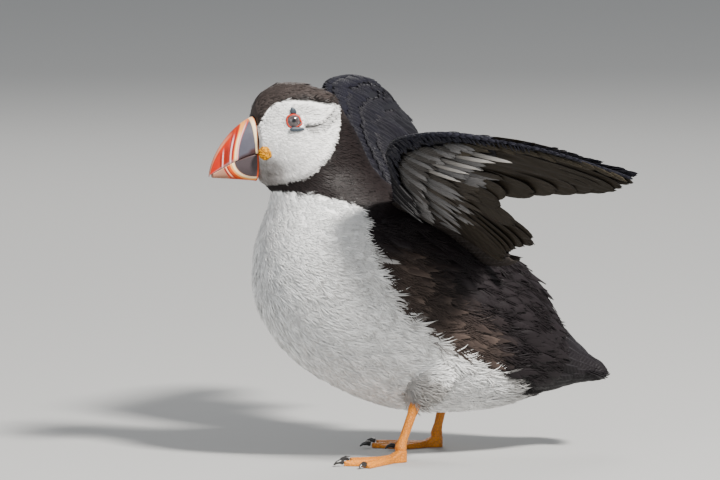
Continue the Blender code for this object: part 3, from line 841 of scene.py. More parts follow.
def strandTuft(name, seed, strands, spread, width, rise, plump=1.0):
    # a lock of tapered three-sided strands lying along +Y, one unit long
    rng = np.random.default_rng(seed)
    verts, faces, run = [], [], []
    for index in range(strands):
        place01 = (index + 0.5) / strands * 2 - 1
        heading = place01 * spread + rng.normal() * spread * 0.2
        reach = 1 - 0.28 * abs(place01) + rng.uniform(-0.12, 0.12)
        offset = place01 * width * strands * 0.28
        lift = rng.uniform(0.0, 0.035)
        base = len(verts)
        for step, (along, wide) in enumerate(((0.0, 0.55), (0.38, 1.0), (0.74, 0.72))):
            turn = heading * (0.6 + 0.7 * along)
            x = offset + reach * along * math.sin(turn)
            y = reach * along * math.cos(turn)
            z = lift + rise * along * (1 - 0.75 * along) + 0.01
            w = width * wide * 0.5
            side = (math.cos(turn) * w, -math.sin(turn) * w)
            verts += [(x - side[0], y - side[1], z - w * 0.25), (x + side[0], y + side[1], z - w * 0.25),
                      (x, y, z + w * 0.55 * plump)]
            run += [along] * 3
            if step:
                a, b = base + (step - 1) * 3, base + step * 3
                for i in range(3):
                    j = (i + 1) % 3
                    faces.append((a + i, a + j, b + j, b + i))
        turn = heading * 1.35
        verts.append((offset + reach * math.sin(turn), reach * math.cos(turn), lift + rise * 0.22))
        run.append(1.0)
        tip, last = len(verts) - 1, base + 6
        for i in range(3):
            faces.append((last + i, last + (i + 1) % 3, tip))
        faces.append((base + 2, base + 1, base))
    return tuftObject(name, verts, faces, run)


def vaneFaces(columns, rows):
    # a closed vane: its upper grid, its under grid and the rim between them
    faces = []
    size = columns * rows
    for row in range(rows - 1):
        for column in range(columns - 1):
            a = row * columns + column
            faces.append((a, a + 1, a + columns + 1, a + columns))
            faces.append((size + a + columns, size + a + columns + 1, size + a + 1, size + a))
    rim = list(range(columns)) + [row * columns + columns - 1 for row in range(1, rows)]
    rim += [(rows - 1) * columns + column for column in range(columns - 2, -1, -1)]
    rim += [row * columns for row in range(rows - 2, 0, -1)]
    return faces + [(there, here, size + here, size + there) for here, there in zip(rim, rim[1:] + rim[:1])]


def vaneTuft(name, seed, width, rise, fray):
    # a leaf-shaped feather along +Y with a frayed end, one unit long
    rng = np.random.default_rng(seed)
    columns, rows = 5, 6
    thick = 0.012
    notch = rng.uniform(-1, 1, columns) * fray
    verts, run, across = [], [], []
    for layer in (1, -1):
        for row in range(rows):
            along = row / (rows - 1)
            for column in range(columns):
                side = 2 * column / (columns - 1) - 1
                ends = 1 - 0.30 * abs(side) ** 2.2 + notch[column] * along ** 3
                y = along * ends
                wide = width * 0.5 * (0.18 + 0.82 * math.sin(min(along * 1.9, math.pi / 2)))
                wide *= 1 - 0.30 * along ** 4
                x = side * wide
                z = rise * along * (1 - 0.72 * along) - 0.35 * abs(x) * abs(side) * 0.6
                z += thick * (0.4 + 0.6 * (1 - abs(side))) * layer
                z += 0.012 if column == columns // 2 and layer > 0 else 0
                verts.append((x, y, z + 0.02))
                run.append(along)
                across.append(side)
    return tuftObject(name, verts, vaneFaces(columns, rows), run, across)


def tuftObject(name, verts, faces, run, across=None):
    made = meshObject(name, verts, faces)
    setAttribute(made.data, "run", run)
    setAttribute(made.data, "across", np.zeros(len(run)) if across is None else across)
    flat = np.asarray(verts, float)
    patch = np.column_stack([flat[:, 0] + 0.5, flat[:, 1], np.zeros(len(flat))])
    setAttribute(made.data, "patch", patch, "FLOAT_VECTOR")
    made.hide_render = True
    made.hide_viewport = True
    return made


class Nodes:
    # a Geometry Nodes tree with named inputs
    def __init__(self, name):
        self.tree = bpy.data.node_groups.new(name, "GeometryNodeTree")
        self.tree.interface.new_socket("Geometry", in_out="INPUT", socket_type="NodeSocketGeometry")
        self.tree.interface.new_socket("Geometry", in_out="OUTPUT", socket_type="NodeSocketGeometry")
        self.sockets = {}
        self.start = self.tree.nodes.new("NodeGroupInput")
        self.end = self.tree.nodes.new("NodeGroupOutput")

    def input(self, name, kind, value):
        socket = self.tree.interface.new_socket(name, in_out="INPUT", socket_type=kind)
        self.sockets[name] = (socket.identifier, value)
        return self.start.outputs[name]

    def node(self, kind, settings=None, inputs=None):
        made = self.tree.nodes.new(kind)
        for key, value in (settings or {}).items():
            setattr(made, key, value)
        for key, value in (inputs or {}).items():
            if isinstance(value, bpy.types.NodeSocket):
                self.tree.links.new(value, made.inputs[key])
            else:
                made.inputs[key].default_value = value
        return made

    def named(self, name, kind="FLOAT"):
        made = self.node("GeometryNodeInputNamedAttribute", {"data_type": kind}, {"Name": name})
        return made.outputs["Attribute"]


def coat(skin, name, half, look):
    # tufts over one half of a zone of the skin, each realized with its patch of the skin's own map
    name += half
    g = Nodes("grow_" + name)
    count, gap, length, lift, stray, seed = (
        g.input(key.title(), "NodeSocketInt" if key == "seed" else "NodeSocketFloat", look[key])
        for key in ("density", "spacing", "length", "lift", "stray", "seed"))
    scatter = g.node("GeometryNodeDistributePointsOnFaces", {"distribute_method": "POISSON"},
                     {"Mesh": g.start.outputs["Geometry"], "Distance Min": gap, "Density Max": count,
                      "Density Factor": g.named(f"zone_{look['zone']}{half}"), "Seed": seed})
    facing = g.node("FunctionNodeAxesToRotation", {"primary_axis": "Z", "secondary_axis": "Y"},
                    {"Primary Axis": scatter.outputs["Normal"],
                     "Secondary Axis": g.named("lie", "FLOAT_VECTOR")})
    turn = g.node("ShaderNodeCombineXYZ", None, {"X": lift, "Y": 0.12, "Z": stray})
    back = g.node("ShaderNodeVectorMath", {"operation": "MULTIPLY"},
                  {0: turn.outputs[0], 1: (0.35, -1.0, -1.0)})
    jitter = g.node("FunctionNodeRandomValue", {"data_type": "FLOAT_VECTOR"},
                    {"Min": back.outputs[0], "Max": turn.outputs[0], "Seed": seed})
    turned = g.node("FunctionNodeRotateRotation", {"rotation_space": "LOCAL"},
                    {"Rotation": facing.outputs[0], "Rotate By": jitter.outputs[0]})
    vary = g.node("FunctionNodeRandomValue", {"data_type": "FLOAT"}, {2: 0.8, 3: 1.2, "Seed": seed})
    size = g.node("ShaderNodeMath", {"operation": "MULTIPLY"}, {0: vary.outputs[1], 1: length})
    size = g.node("ShaderNodeMath", {"operation": "MULTIPLY"}, {0: size.outputs[0], 1: g.named("grow")})
    pool = g.node("GeometryNodeJoinGeometry")
    for tuft in reversed(look["tufts"]):
        info = g.node("GeometryNodeObjectInfo", {"transform_space": "ORIGINAL"},
                      {"Object": tuft, "As Instance": True})
        g.tree.links.new(info.outputs["Geometry"], pool.inputs[0])
    pick = g.node("FunctionNodeRandomValue", {"data_type": "INT"},
                  {4: 0, 5: len(look["tufts"]) - 1, "Seed": seed})
    spread = g.node("GeometryNodeInstanceOnPoints", None,
                    {"Points": scatter.outputs["Points"], "Instance": pool.outputs[0],
                     "Pick Instance": True, "Instance Index": pick.outputs[2],
                     "Rotation": turned.outputs[0], "Scale": size.outputs[0]})
    tint = g.node("FunctionNodeRandomValue", {"data_type": "FLOAT"},
                  {2: 0.0, 3: 1.0, "Seed": look["seed"] + 7})
    marked = g.node("GeometryNodeStoreNamedAttribute", {"domain": "INSTANCE", "data_type": "FLOAT"},
                    {"Geometry": spread.outputs[0], "Name": "tint", "Value": tint.outputs[1]})
    rooted = g.node("GeometryNodeStoreNamedAttribute", {"domain": "INSTANCE", "data_type": "FLOAT_VECTOR"},
                    {"Geometry": marked.outputs[0], "Name": "rootUV",
                     "Value": g.named("OFBake", "FLOAT_VECTOR")})
    solid = g.node("GeometryNodeRealizeInstances", None, {"Geometry": rooted.outputs[0]})
    patch = g.node("ShaderNodeVectorMath", {"operation": "MULTIPLY_ADD"},
                   {0: g.named("patch", "FLOAT_VECTOR"), 1: (body["patch"], body["patch"], 0),
                    2: g.named("rootUV", "FLOAT_VECTOR")})
    mapped = g.node("GeometryNodeStoreNamedAttribute", {"domain": "CORNER", "data_type": "FLOAT2"},
                    {"Geometry": solid.outputs[0], "Name": "OFBake", "Value": patch.outputs[0]})
    for gone in ("patch", "rootUV", "lie", "grow"):
        mapped = g.node("GeometryNodeRemoveAttribute", None, {"Geometry": mapped.outputs[0], "Name": gone})
    done = g.node("GeometryNodeSetMaterial", None, {"Geometry": mapped.outputs[0], "Material": look["paint"]})
    g.tree.links.new(done.outputs[0], g.end.inputs[0])
    grown = linked(name, skin.data.copy())
    step = grown.modifiers.new("grow", "NODES")
    step.node_group = g.tree
    for identifier, value in g.sockets.values():
        step[identifier] = value
    grown = applied(grown)
    for extra in [a.name for a in grown.data.attributes if a.name.startswith("zone_")]:
        grown.data.attributes.remove(grown.data.attributes[extra])
    triangles = sum(len(p.vertices) - 2 for p in grown.data.polygons)
    print("coat", name, triangles, "triangles")
    return grown


def plumagePaint(name, coated, even=0.0, rough=0.86):
    # even: how much the tufts are lit as the skin under them
    s = Sheet(name)
    base = s.attribute("plume", "Color")
    soft = s.noise(420.0, 4.0)
    if coated:
        tint, run, edge, across = (s.attribute(key) for key in ("tint", "run", "edge", "across"))
        # each tuft is darker toward its root: painted shade where it lies under its neighbours
        base = s.shade(base, 0.76 + 0.30 * tint + 0.18 * run)
        outer = (run.step(0.55, 1.0) + across.math("ABSOLUTE").step(0.5, 1.0) * 0.5).math("MINIMUM", 1.0)
        base = s.mix(edge * outer * (0.25 + 0.5 * tint), base, plume["flankEdge"])
    else:
        base = s.shade(base, 0.80 + 0.34 * soft)
    geometry = s.node("ShaderNodeNewGeometry", None, None, "Normal")
    lying = s.attribute("skinNormal", "Vector")
    blend = s.node("ShaderNodeMix", {"data_type": "VECTOR"}, {0: even, 4: geometry, 5: lying}, 1)
    level = s.node("ShaderNodeVectorMath", {"operation": "NORMALIZE"}, {0: blend})
    normal = s.bumpNormal(s.noise(900.0, 2.0) if coated else soft, 0.25, 0.0006, level)
    return s.set(colour=base, roughness=rough - 0.34 * s.attribute("gloss"), normal=normal, specular=0.16)


skin = buildSkin()
unwrap(skin)
print("zones", dressSkin(skin))
skinPaint = plumagePaint("skinPlumage", False)
facePaint = plumagePaint("facePlumage", True, 0.82)
downPaint = plumagePaint("downPlumage", True, 0.66)
coatPaint = plumagePaint("coatPlumage", True, 0.42)
skin.data.materials.clear()
skin.data.materials.append(skinPaint)
print("skin", len(skin.data.polygons), "faces")

velvetTufts = [strandTuft(f"velvet{i}", 20 + i, strands=2, spread=0.22, width=0.17, rise=0.10, plump=0.5)
               for i in range(4)]
downTufts = [strandTuft(f"down{i}", 10 + i, strands=6, spread=0.40, width=0.055, rise=0.13) for i in range(4)]
longTufts = [strandTuft(f"long{i}", 30 + i, strands=6, spread=0.30, width=0.050, rise=0.12) for i in range(3)]
vaneTufts = [vaneTuft(f"vane{i}", 40 + i, width=0.44, rise=0.14, fray=0.20) for i in range(2)]
looseTufts = [vaneTuft(f"loose{i}", 50 + i, width=0.30, rise=0.14, fray=0.30) for i in range(3)]
looseTufts += [strandTuft(f"loose{i}", 50 + i, strands=7, spread=0.30, width=0.050, rise=0.13)
               for i in range(3, 8)]
backTufts = vaneTufts + looseTufts[3:6]

coats = {
    "coatFace": {"zone": "face", "tufts": velvetTufts, "paint": facePaint, "seed": 1, "density": 2000000,
                 "spacing": 0.00072, "length": 0.0034, "lift": 0.02, "stray": 0.22},
    "coatCap": {"zone": "cap", "tufts": velvetTufts, "paint": facePaint, "seed": 2, "density": 1200000,
                "spacing": 0.00105, "length": 0.0044, "lift": 0.03, "stray": 0.30},
    "coatBreast": {"zone": "breast", "tufts": downTufts, "paint": downPaint, "seed": 3, "density": 500000,
                   "spacing": 0.0019, "length": 0.0088, "lift": 0.025, "stray": 0.30},
    "coatVent": {"zone": "vent", "tufts": longTufts, "paint": downPaint, "seed": 4, "density": 120000,
                 "spacing": 0.0024, "length": 0.012, "lift": 0.04, "stray": 0.30},
    "coatFlank": {"zone": "flank", "tufts": looseTufts, "paint": downPaint, "seed": 5, "density": 160000,
                  "spacing": 0.0025, "length": 0.0145, "lift": 0.04, "stray": 0.26},
    "coatBack": {"zone": "back", "tufts": backTufts, "paint": coatPaint, "seed": 6, "density": 120000,
                 "spacing": 0.0031, "length": 0.0145, "lift": 0.05, "stray": 0.22},
}
grown = [coat(skin, name, half, look) for name, look in coats.items() for half in ("Left", "Right")]
for tuft in velvetTufts + downTufts + longTufts + vaneTufts + looseTufts:
    bpy.data.objects.remove(tuft)
fleshNodes = ["head", "neck", "trunk", "rump", "thigh_left", "thigh_right"]
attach(skin, "root")
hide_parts(*fleshNodes)
for piece in grown:
    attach(piece, "root")


def lerp(pair, share):
    return pair[0] + (pair[1] - pair[0]) * share


class Plumes:
    # many single feathers in one mesh, each a closed vane with its own patch of the UV map
    def __init__(self, seed, columns=7, rows=9):
        self.rng = np.random.default_rng(seed)
        self.columns, self.rows = columns, rows
        # rows lie closer toward the tip, to round it
        self.run = 1 - (1 - np.linspace(0, 1, rows)) ** 1.6
        self.grids, self.colours, self.tints = [], [], []

    def add(self, root, tip, normal, width, under, upper, lead=0.5, bow=0.0, rise=0.02, twist=0.0,
            arch=0.10, point=0.78, fray=0.03, thick=0.35, pale=0.0, early=0.0):
        # pale: how much lighter the tip is than the root; early: how much sooner the broad vane narrows
        root, tip = np.asarray(root, float), np.asarray(tip, float)
        length = np.linalg.norm(tip - root)
        ahead = (tip - root) / length
        side = unit(np.cross(normal, ahead))
        out = np.cross(ahead, side)
        run = self.run[:, None]
        across = np.linspace(-1, 1, self.columns)[None, :]
        start = point - early * np.clip(across * (1 if lead < 0.5 else -1), 0, 1)
        end = np.clip((run - start) / (1 - start), 0, 1)
        wide = width * (0.25 + 0.75 * smoothStep(0, 0.18, run)) * np.maximum(np.sqrt(1 - end ** 2.2), 0.10)
        x = across * wide * np.where(across < 0, lead, 1 - lead)
        notch = self.rng.uniform(-1, 1, (1, self.columns)) * fray
        along = run * (1 + notch * run ** 4)
        lift = rise * length * 4 * run * (1 - run) - arch * wide * across ** 2 + x * math.sin(twist)
        lift = lift + 0.18 * (np.abs(across) < 0.05)
        middle = root + along[..., None] * (tip - root)
        middle = middle + side * (bow * 4 * run * (1 - run) + x)[..., None] + out * lift[..., None]
        wall = out * (0.5 * thick * (1 - 0.6 * np.abs(across)) * (1 - 0.5 * run))[..., None]
        self.grids.append((middle + wall, middle - wall))
        shade = 1 + self.rng.uniform(-0.14, 0.14)
        tone = shade * (1 + pale * run ** 2)[..., None]
        self.colours.append((np.array(upper) * tone, np.array(under) * tone))
        self.tints.append(self.rng.uniform())

    def build(self, name, side, material):
        columns, rows, count = self.columns, self.rows, len(self.grids)
        size = columns * rows
        verts = np.concatenate([np.concatenate([a.reshape(-1, 3), b.reshape(-1, 3)]) for a, b in self.grids])
        quads = np.array(vaneFaces(columns, rows))
        faces = (quads[None] + (np.arange(count) * size * 2)[:, None, None]).reshape(-1, 4)
        if side > 0:
            faces = faces[:, ::-1]
        made = meshObject(name, place(verts, side), faces)
        mesh = made.data
        run = np.repeat(self.run, columns)
        across = np.tile(np.linspace(-1, 1, columns), rows)
        cells = math.ceil(math.sqrt(count * 2))
        uv = []
        for index in range(count * 2):
            corner = np.array((index % cells, index // cells)) / cells
            uv.append(corner + np.column_stack([0.05 + 0.45 * (across + 1), 0.05 + 0.9 * run]) / cells)
        uv = np.concatenate(uv)
        loops = np.empty(len(mesh.loops), np.int32)
        mesh.loops.foreach_get("vertex_index", loops)
        mesh.uv_layers.new(name="OFBake").data.foreach_set("uv", uv[loops].astype(np.float32).ravel())
        tones = [tone for pair in self.colours for tone in pair]
        tones = [np.broadcast_to(tone, (rows, columns, 3)).reshape(-1, 3) for tone in tones]
        colourAttribute(mesh, "plume", np.concatenate(tones))
        setAttribute(mesh, "run", np.tile(run, count * 2))
        setAttribute(mesh, "across", np.tile(across, count * 2))
        setAttribute(mesh, "tint", np.repeat(self.tints, size * 2))
        mesh.materials.append(material)
        print(name, count, "feathers", len(mesh.polygons) * 2, "triangles")
        return made


def vanePaint(name, shaftAndSheen, rough):
    s = Sheet(name)
    base = s.attribute("plume", "Color")
    run, across, tint = (s.attribute(key) for key in ("run", "across", "tint"))
    side = across.math("ABSOLUTE")
    barb = ((run * 46.0) - (side * 9.0) + tint * 6.0).math("SINE")
    split = s.noise(260.0, 4.0)
    shaft = 1 - side.step(0.0, 0.13)
    colour = s.shade(base, 0.84 + 0.08 * barb + 0.24 * split)
    # the paler shaft near the root is the quill's own colour
    colour = s.mix(shaft * 0.30 * (1 - run), colour, shaftAndSheen)
    # painted sheen: a lighter rim along the vane's edges
    colour = s.mix(side.step(0.80, 1.0) * 0.08, colour, shaftAndSheen)
    normal = s.bumpNormal(barb * 0.5 + shaft, 0.45, 0.0004)
    return s.set(colour=colour, roughness=rough - 0.10 * tint, normal=normal, specular=0.14)


flight = {
    "secondaries": 16, "primaries": 10, "secondaryRoots": (0.03, 0.35), "secondaryTips": (0.03, 0.60),
    "primaryRoots": (0.36, 0.58), "primaryTips": (0.635, 0.995), "bunched": 1.25, "rootAcross": (0.16, 0.06),
    "secondaryWidth": 15.0, "primaryWidth": (18.0, 9.0), "bow": 7.0,
    "under": (0.0195, 0.0150, 0.0100), "upper": (0.0048, 0.0043, 0.0066),
}

# Covert rows. On each: place across the wing, length, width, number, ends along the wing, rank, colour,
# how much paler the tip is, and the share of silvery feathers.
coverts = {
    "under": (
        (0.33, 31.0, 6.2, 44, (0.02, 0.52), 1, (0.024, 0.0195, 0.015), 0.6, 0.30),
        (0.21, 30.0, 5.0, 50, (0.02, 0.55), 2, (0.026, 0.022, 0.018), 0.8, 0.50),
        (0.105, 20.0, 5.6, 50, (0.02, 0.58), 3, (0.030, 0.027, 0.025), 0.6, 0.66),
        (0.025, 7.0, 3.4, 90, (0.16, 0.70), 4, (0.0075, 0.0075, 0.012), 0.4, 0.0),
        (0.02, 17.0, 1.7, 34, (0.01, 0.17), 4, (0.012, 0.011, 0.012), 0.2, 0.50),
        (0.46, 24.0, 4.6, 16, (0.02, 0.16), 2, (0.022, 0.018, 0.016), 0.8, 0.60),
        (0.10, 27.0, 6.5, 17, (0.50, 0.86), 2, (0.024, 0.019, 0.012), 0.5, 0.0),
    ),
    "upper": (
        # on the upper face the paler tips are painted highlights
        (0.40, 32.0, 9.0, 34, (0.02, 0.50), 1, (0.0048, 0.0043, 0.0068), 0.8, 0.0),
        (0.27, 26.0, 8.0, 38, (0.02, 0.54), 2, (0.0048, 0.0045, 0.0073), 1.0, 0.0),
        (0.15, 20.0, 6.4, 50, (0.02, 0.66), 3, (0.0052, 0.0049, 0.0082), 1.1, 0.0),
        (0.05, 13.0, 4.6, 76, (0.02, 0.76), 4, (0.0055, 0.0053, 0.0090), 1.1, 0.0),
        (0.22, 30.0, 9.0, 16, (0.50, 0.80), 2, (0.0048, 0.0044, 0.0070), 0.9, 0.0),
        (0.08, 24.0, 7.0, 24, (0.52, 0.90), 3, (0.0050, 0.0047, 0.0076), 1.0, 0.0),
    ),
}
# pale feathers of the under face: their tips are much lighter than their roots
silver = {"colour": (0.045, 0.0435, 0.0435), "pale": 2.6, "white": (0.050, 0.047, 0.044), "bright": 13.0,
          "number": 5, "ends": (0.33, 0.60), "across": 0.17, "length": 36.0, "width": 3.2}
edging = {"rows": 5, "turns": (-55, 80), "number": 76, "length": 7.0, "width": 3.0, "out": 1.1,
          "colour": (0.0075, 0.0075, 0.0125)}


def flightPlaces(index):
    # root and tip of a flight feather along the wing, how deep its root is, and how far out it grows
    if index < flight["secondaries"]:
        share = index / (flight["secondaries"] - 1)
        return (lerp(flight["secondaryRoots"], share), lerp(flight["secondaryTips"], share),
                flight["rootAcross"][0], None)
    share = (index - flight["secondaries"]) / (flight["primaries"] - 1)
    spread = 1 - (1 - share) ** flight["bunched"]
    return (lerp(flight["primaryRoots"], share), lerp(flight["primaryTips"], spread),
            lerp(flight["rootAcross"], share), share)


def coreHalf(along, across):
    # half the thickness of the flesh and its down at a place on the wing
    reach = fleshReach(along)
    if along > wingShape["fleshEnd"] or not 0 <= across <= reach:
        return 0.0
    thick = fleshThick(along, "coverThick")
    round01 = math.sin(math.pi * min((across / reach * 8 + 0.6) / 9.4, 1.0))
    return 0.5 * max(thick * math.sqrt(max(round01, 0)), 2.6)


def heading(wing, along):
    # direction of the flight feather that grows nearest to a place along the wing
    lines = []
    total = flight["secondaries"] + flight["primaries"]
    for index in range(total):
        a0, a1, depth = flightPlaces(index)[:3]
        lines.append((a0, *unit(wingPoint(wing, a1, 1.0) - wingPoint(wing, a0, depth))))
    lines = np.array(lines)
    return unit(np.array([np.interp(along, lines[:, 0], lines[:, axis]) for axis in (1, 2, 3)]))


def addCovert(cover, wing, along, across, up, length, width, rank, colour, pale):
    # one small feather on the upper or under face, lying along the flight feathers below it
    normal = wingNormal(wing, along) * up
    way = heading(wing, along)
    root = wingPoint(wing, along, across) + normal * (coreHalf(along, across) + 0.3)
    wander = np.cross(normal, way) * cover.rng.normal() * 0.06
    # the tip stays clear of the flesh under it
    under = coreHalf(along, across + length / np.linalg.norm(wingChord(wing, along)[0]))
    tip = wingPoint(wing, along, across) + normal * max(1.0 + 0.75 * rank, under + 0.5 + 0.35 * rank)
    tip = tip + unit(way + wander) * length * cover.rng.uniform(0.86, 1.16)
    cover.add(root, tip, normal, width * cover.rng.uniform(0.88, 1.1), colour, colour, rise=0.03,
              twist=cover.rng.normal() * 0.05, arch=0.12, point=0.55, fray=0.07, thick=0.32, pale=pale)


# long feathers between the body and the root of the wing, above and below
shoulder = {"number": 17, "across": (0.02, 0.95), "past": 17.0, "width": 10.0, "sink": 3.0,
            "under": (0.022, 0.018, 0.016), "upper": (0.0055, 0.0048, 0.0066), "pale": 0.7}


def featherShoulder(cover, wing):
    verts, faces = loft(bodyRings(-body["coatDepth"]))
    trunk = BVHTree.FromPolygons([tuple(spot) for spot in unplace(verts)], faces)
    chord = unit(wingChord(wing, 0.05)[0])
    for up, tone in ((1, shoulder["upper"]), (-1, shoulder["under"])):
        normal = wingNormal(wing, 0.05) * up
        for index in range(shoulder["number"]):
            across = lerp(shoulder["across"], (index + cover.rng.uniform(0.2, 0.8)) / shoulder["number"])
            nearest = trunk.find_nearest(Vector(wingPoint(wing, 0.02, across)))[0]
            root = np.array(nearest) - np.array((0.0, shoulder["sink"], 0.0))
            tip = wingPoint(wing, 0.06, across) + normal * (coreHalf(0.06, across) + 1.5)
            tip = tip + chord * shoulder["past"] * cover.rng.uniform(0.8, 1.2)
            cover.add(root, tip, normal, shoulder["width"], shoulder["under"], tone, rise=0.05,
                      twist=cover.rng.normal() * 0.05, arch=0.12, point=0.6, fray=0.06,
                      pale=shoulder["pale"])


def featherWing(sideName, wing, material):
    quills = Plumes(60 + wing["side"], 9, 14)
    total = flight["secondaries"] + flight["primaries"]
    for index in range(total):
        a0, a1, depth, outer = flightPlaces(index)
        root, tip = wingPoint(wing, a0, depth), wingPoint(wing, a1, 1.0)
        normal = wingNormal(wing, a0)
        hand = outer is not None
        width = lerp(flight["primaryWidth"], outer) if hand else flight["secondaryWidth"]
        bow = flight["bow"] * outer ** 2 if hand else 0.0
        # the narrow vane faces the leading edge
        leading = (wingPoint(wing, a0, 0.0) - wingPoint(wing, a0, 0.6)
                   + wingPoint(wing, min(a0 + 0.15, 1), 0) - wingPoint(wing, a0, 0))
        toLead = np.sign(np.dot(np.cross(normal, tip - root), leading))
        lead = 0.30 if hand else 0.42
        lead = lead if toLead < 0 else 1 - lead
        quills.add(root, tip, normal, width, flight["under"], flight["upper"], lead, bow * toLead,
                   twist=math.radians(7) * toLead, arch=0.05, point=0.90 if hand else 0.86, fray=0.012,
                   thick=0.5, early=0.34 if hand else 0.10)
    pieces = [quills.build(f"quills_{sideName}", wing["side"], material)]
    cover = Plumes(70 + wing["side"], 5, 6)
    for face, rows in coverts.items():
        up = 1 if face == "upper" else -1
        for across, length, width, number, ends, rank, colour, pale, silvery in rows:
            for index in range(number):
                along = lerp(ends, (index + cover.rng.uniform(0.2, 0.8)) / number)
                small = 1 - 0.45 * float(smoothStep(0.35, 0.66, along))
                shine = cover.rng.uniform() < silvery
                tone, tipPale, above = (silver["colour"], silver["pale"], 0.4) if shine else (colour, pale, 0)
                addCovert(cover, wing, along, across + cover.rng.uniform(-0.02, 0.02), up, length * small,
                          width * small, rank + above, tone, tipPale)
    for index in range(silver["number"]):
        along = lerp(silver["ends"], (index + 0.5) / silver["number"])
        addCovert(cover, wing, along, silver["across"], -1, silver["length"], silver["width"], 3.0,
                  silver["white"], silver["bright"])
    featherShoulder(cover, wing)
    pieces.append(cover.build(f"coverts_{sideName}", wing["side"], material))
    rim = Plumes(90 + wing["side"], 5, 5)
    for row in range(edging["rows"]):
        turn = math.radians(lerp(edging["turns"], row / (edging["rows"] - 1)))
        for index in range(edging["number"]):
            along = lerp((0.01, 0.96), (index + rim.rng.uniform(0.2, 0.8)) / edging["number"])
            chord, ahead = wingChord(wing, along)
            normal = wingNormal(wing, along)
            outward = unit(-unit(chord) * math.cos(turn) + normal * math.sin(turn))
            out = edging["out"] * 0.5 * (1 - along)
            root = wingPoint(wing, along, 0.02) + outward * (coreHalf(along, 0.04) * 0.8 + out)
            way = unit(heading(wing, along) + ahead * 0.8)
            tip = root + way * edging["length"] * (1 - 0.4 * along) + outward * out
            rim.add(root, tip, outward, edging["width"] * (1 - 0.45 * along), edging["colour"],
                    edging["colour"], rise=0.04, arch=0.14, point=0.5, fray=0.06, thick=0.3, pale=0.9)
    pieces.append(rim.build(f"wingEdge_{sideName}", wing["side"], material))
    return pieces


tailFan = {
    "number": 14, "root": (-100.0, 0.0, 51.5), "down": (-0.955, 0.0, -0.296), "rise": (-0.296, 0.0, 0.955),
    "length": 27.0, "spread": 12.0, "arch": 4.0, "width": 9.0, "colour": (0.0075, 0.0062, 0.0072),
    # rings round its root: lower and upper point (forward, up) and half width of the roots, then of the tips
    "coverts": (((-74, 32), (-97, 71), 24.5, (-97, 37), (-109, 58), 18.0),
                ((-83, 35), (-101, 65), 21.0, (-106, 39), (-114, 53), 16.0),
                ((-92, 38.5), (-104, 60), 18.0, (-113, 40.5), (-118, 49.5), 15.0),
                ((-99, 42), (-107, 55.5), 15.0, (-118, 41.5), (-122, 46.5), 14.0)),
    "around": 22, "hub": (-85.0, 0.0, 53.0), "rootHalf": 8.0, "covertWidth": 9.5,
}


def featherTail(material):
    fan = Plumes(80, 7, 10)
    root, down, rise = (np.array(tailFan[key]) for key in ("root", "down", "rise"))
    for index in range(tailFan["number"]):
        across = 2 * index / (tailFan["number"] - 1) - 1
        reach = tailFan["length"] * (1 - 0.28 * abs(across) ** 2.2)
        drop = -tailFan["arch"] * across ** 2 - 0.5 * abs(across)
        start = root + np.array((0, across * tailFan["rootHalf"], 0)) + rise * drop * 0.6
        spread = across * (tailFan["rootHalf"] + tailFan["spread"])
        end = root + down * reach + np.array((0, spread, 0)) + rise * drop
        fan.add(start, end, rise, tailFan["width"], tailFan["colour"], tailFan["colour"], rise=0.01,
                twist=-across * 0.10, arch=0.06, point=0.72, thick=0.5, pale=0.4)
    for *ringRoot, ringTip0, ringTip1, halfTip in tailFan["coverts"]:
        for index in range(tailFan["around"]):
            angle = 2 * math.pi * (index + fan.rng.uniform(-0.2, 0.2)) / tailFan["around"]
            ends = []
            for low, high, half in (ringRoot, (ringTip0, ringTip1, halfTip)):
                low, high = (np.array((spot[0], 0.0, spot[1])) for spot in (low, high))
                ends.append((low + high) / 2 + (high - low) / 2 * math.sin(angle)
                            + np.array((0, half * math.cos(angle), 0)))
            start, end = ends
            outward = unit(start - np.array(tailFan["hub"]))
            outward = unit(outward - unit(end - start) * np.dot(outward, unit(end - start)))
            end = end + unit(end - start) * fan.rng.normal() * 1.2
            fan.add(start, end, outward, tailFan["covertWidth"], tailFan["colour"], tailFan["colour"],
                    rise=0.04, twist=fan.rng.normal() * 0.05, arch=0.12, point=0.60, fray=0.06, thick=0.4,
                    pale=0.5)
    return fan.build("tailFeathers", 1, material)


def billEdges(share):
    # heights of the ridge, the gape and the lower edge at a share of the bill's length
    ridge = bill["tip"] + (bill["top"] - bill["tip"]) * (1 - share ** 1.3) ** 0.53
    gape = bill["gape"] - bill["gapeDrop"] * share ** bill["gapeBend"]
    return ridge, gape, bill["foot"] + bill["footRise"] * share ** 0.8


# What the bill's colours fade between, in millimetres: along it, up it, or from one of its edges.
billFades = {
    "glow": (9, 1), "glowAlong": (112, 107), "ridgeGlow": (4, 0), "slate": (0.15, -0.15),
    "corner": (0.6, -0.6), "rim": (0.25, -0.25), "rimPeachUp": (192, 195), "rimPeachAlong": (97, 93),
    "skirt": (0.75, 0.35), "ridgeHighlight": (1.6, 0.4), "ridgeHighlightAlong": (100, 108),
    "cutting": (0.45, 0.1), "cuttingAlong": (99, 102),
    # the lower half
    "horn": (5.2, 6.4), "hornAlong": (101.5, 106), "grooveAlong": (103.0, 105.0), "pinkUp": (161.0, 162.8),
    "slateLow": (0.2, -0.2), "gapeDark": (0.9, 0.1), "gapeDarkAlong": (101, 98), "skirtLow": (0.95, 0.5),
    "gapeCream": (0.8, 0.2), "gapeCreamAlong": (101, 103),
}


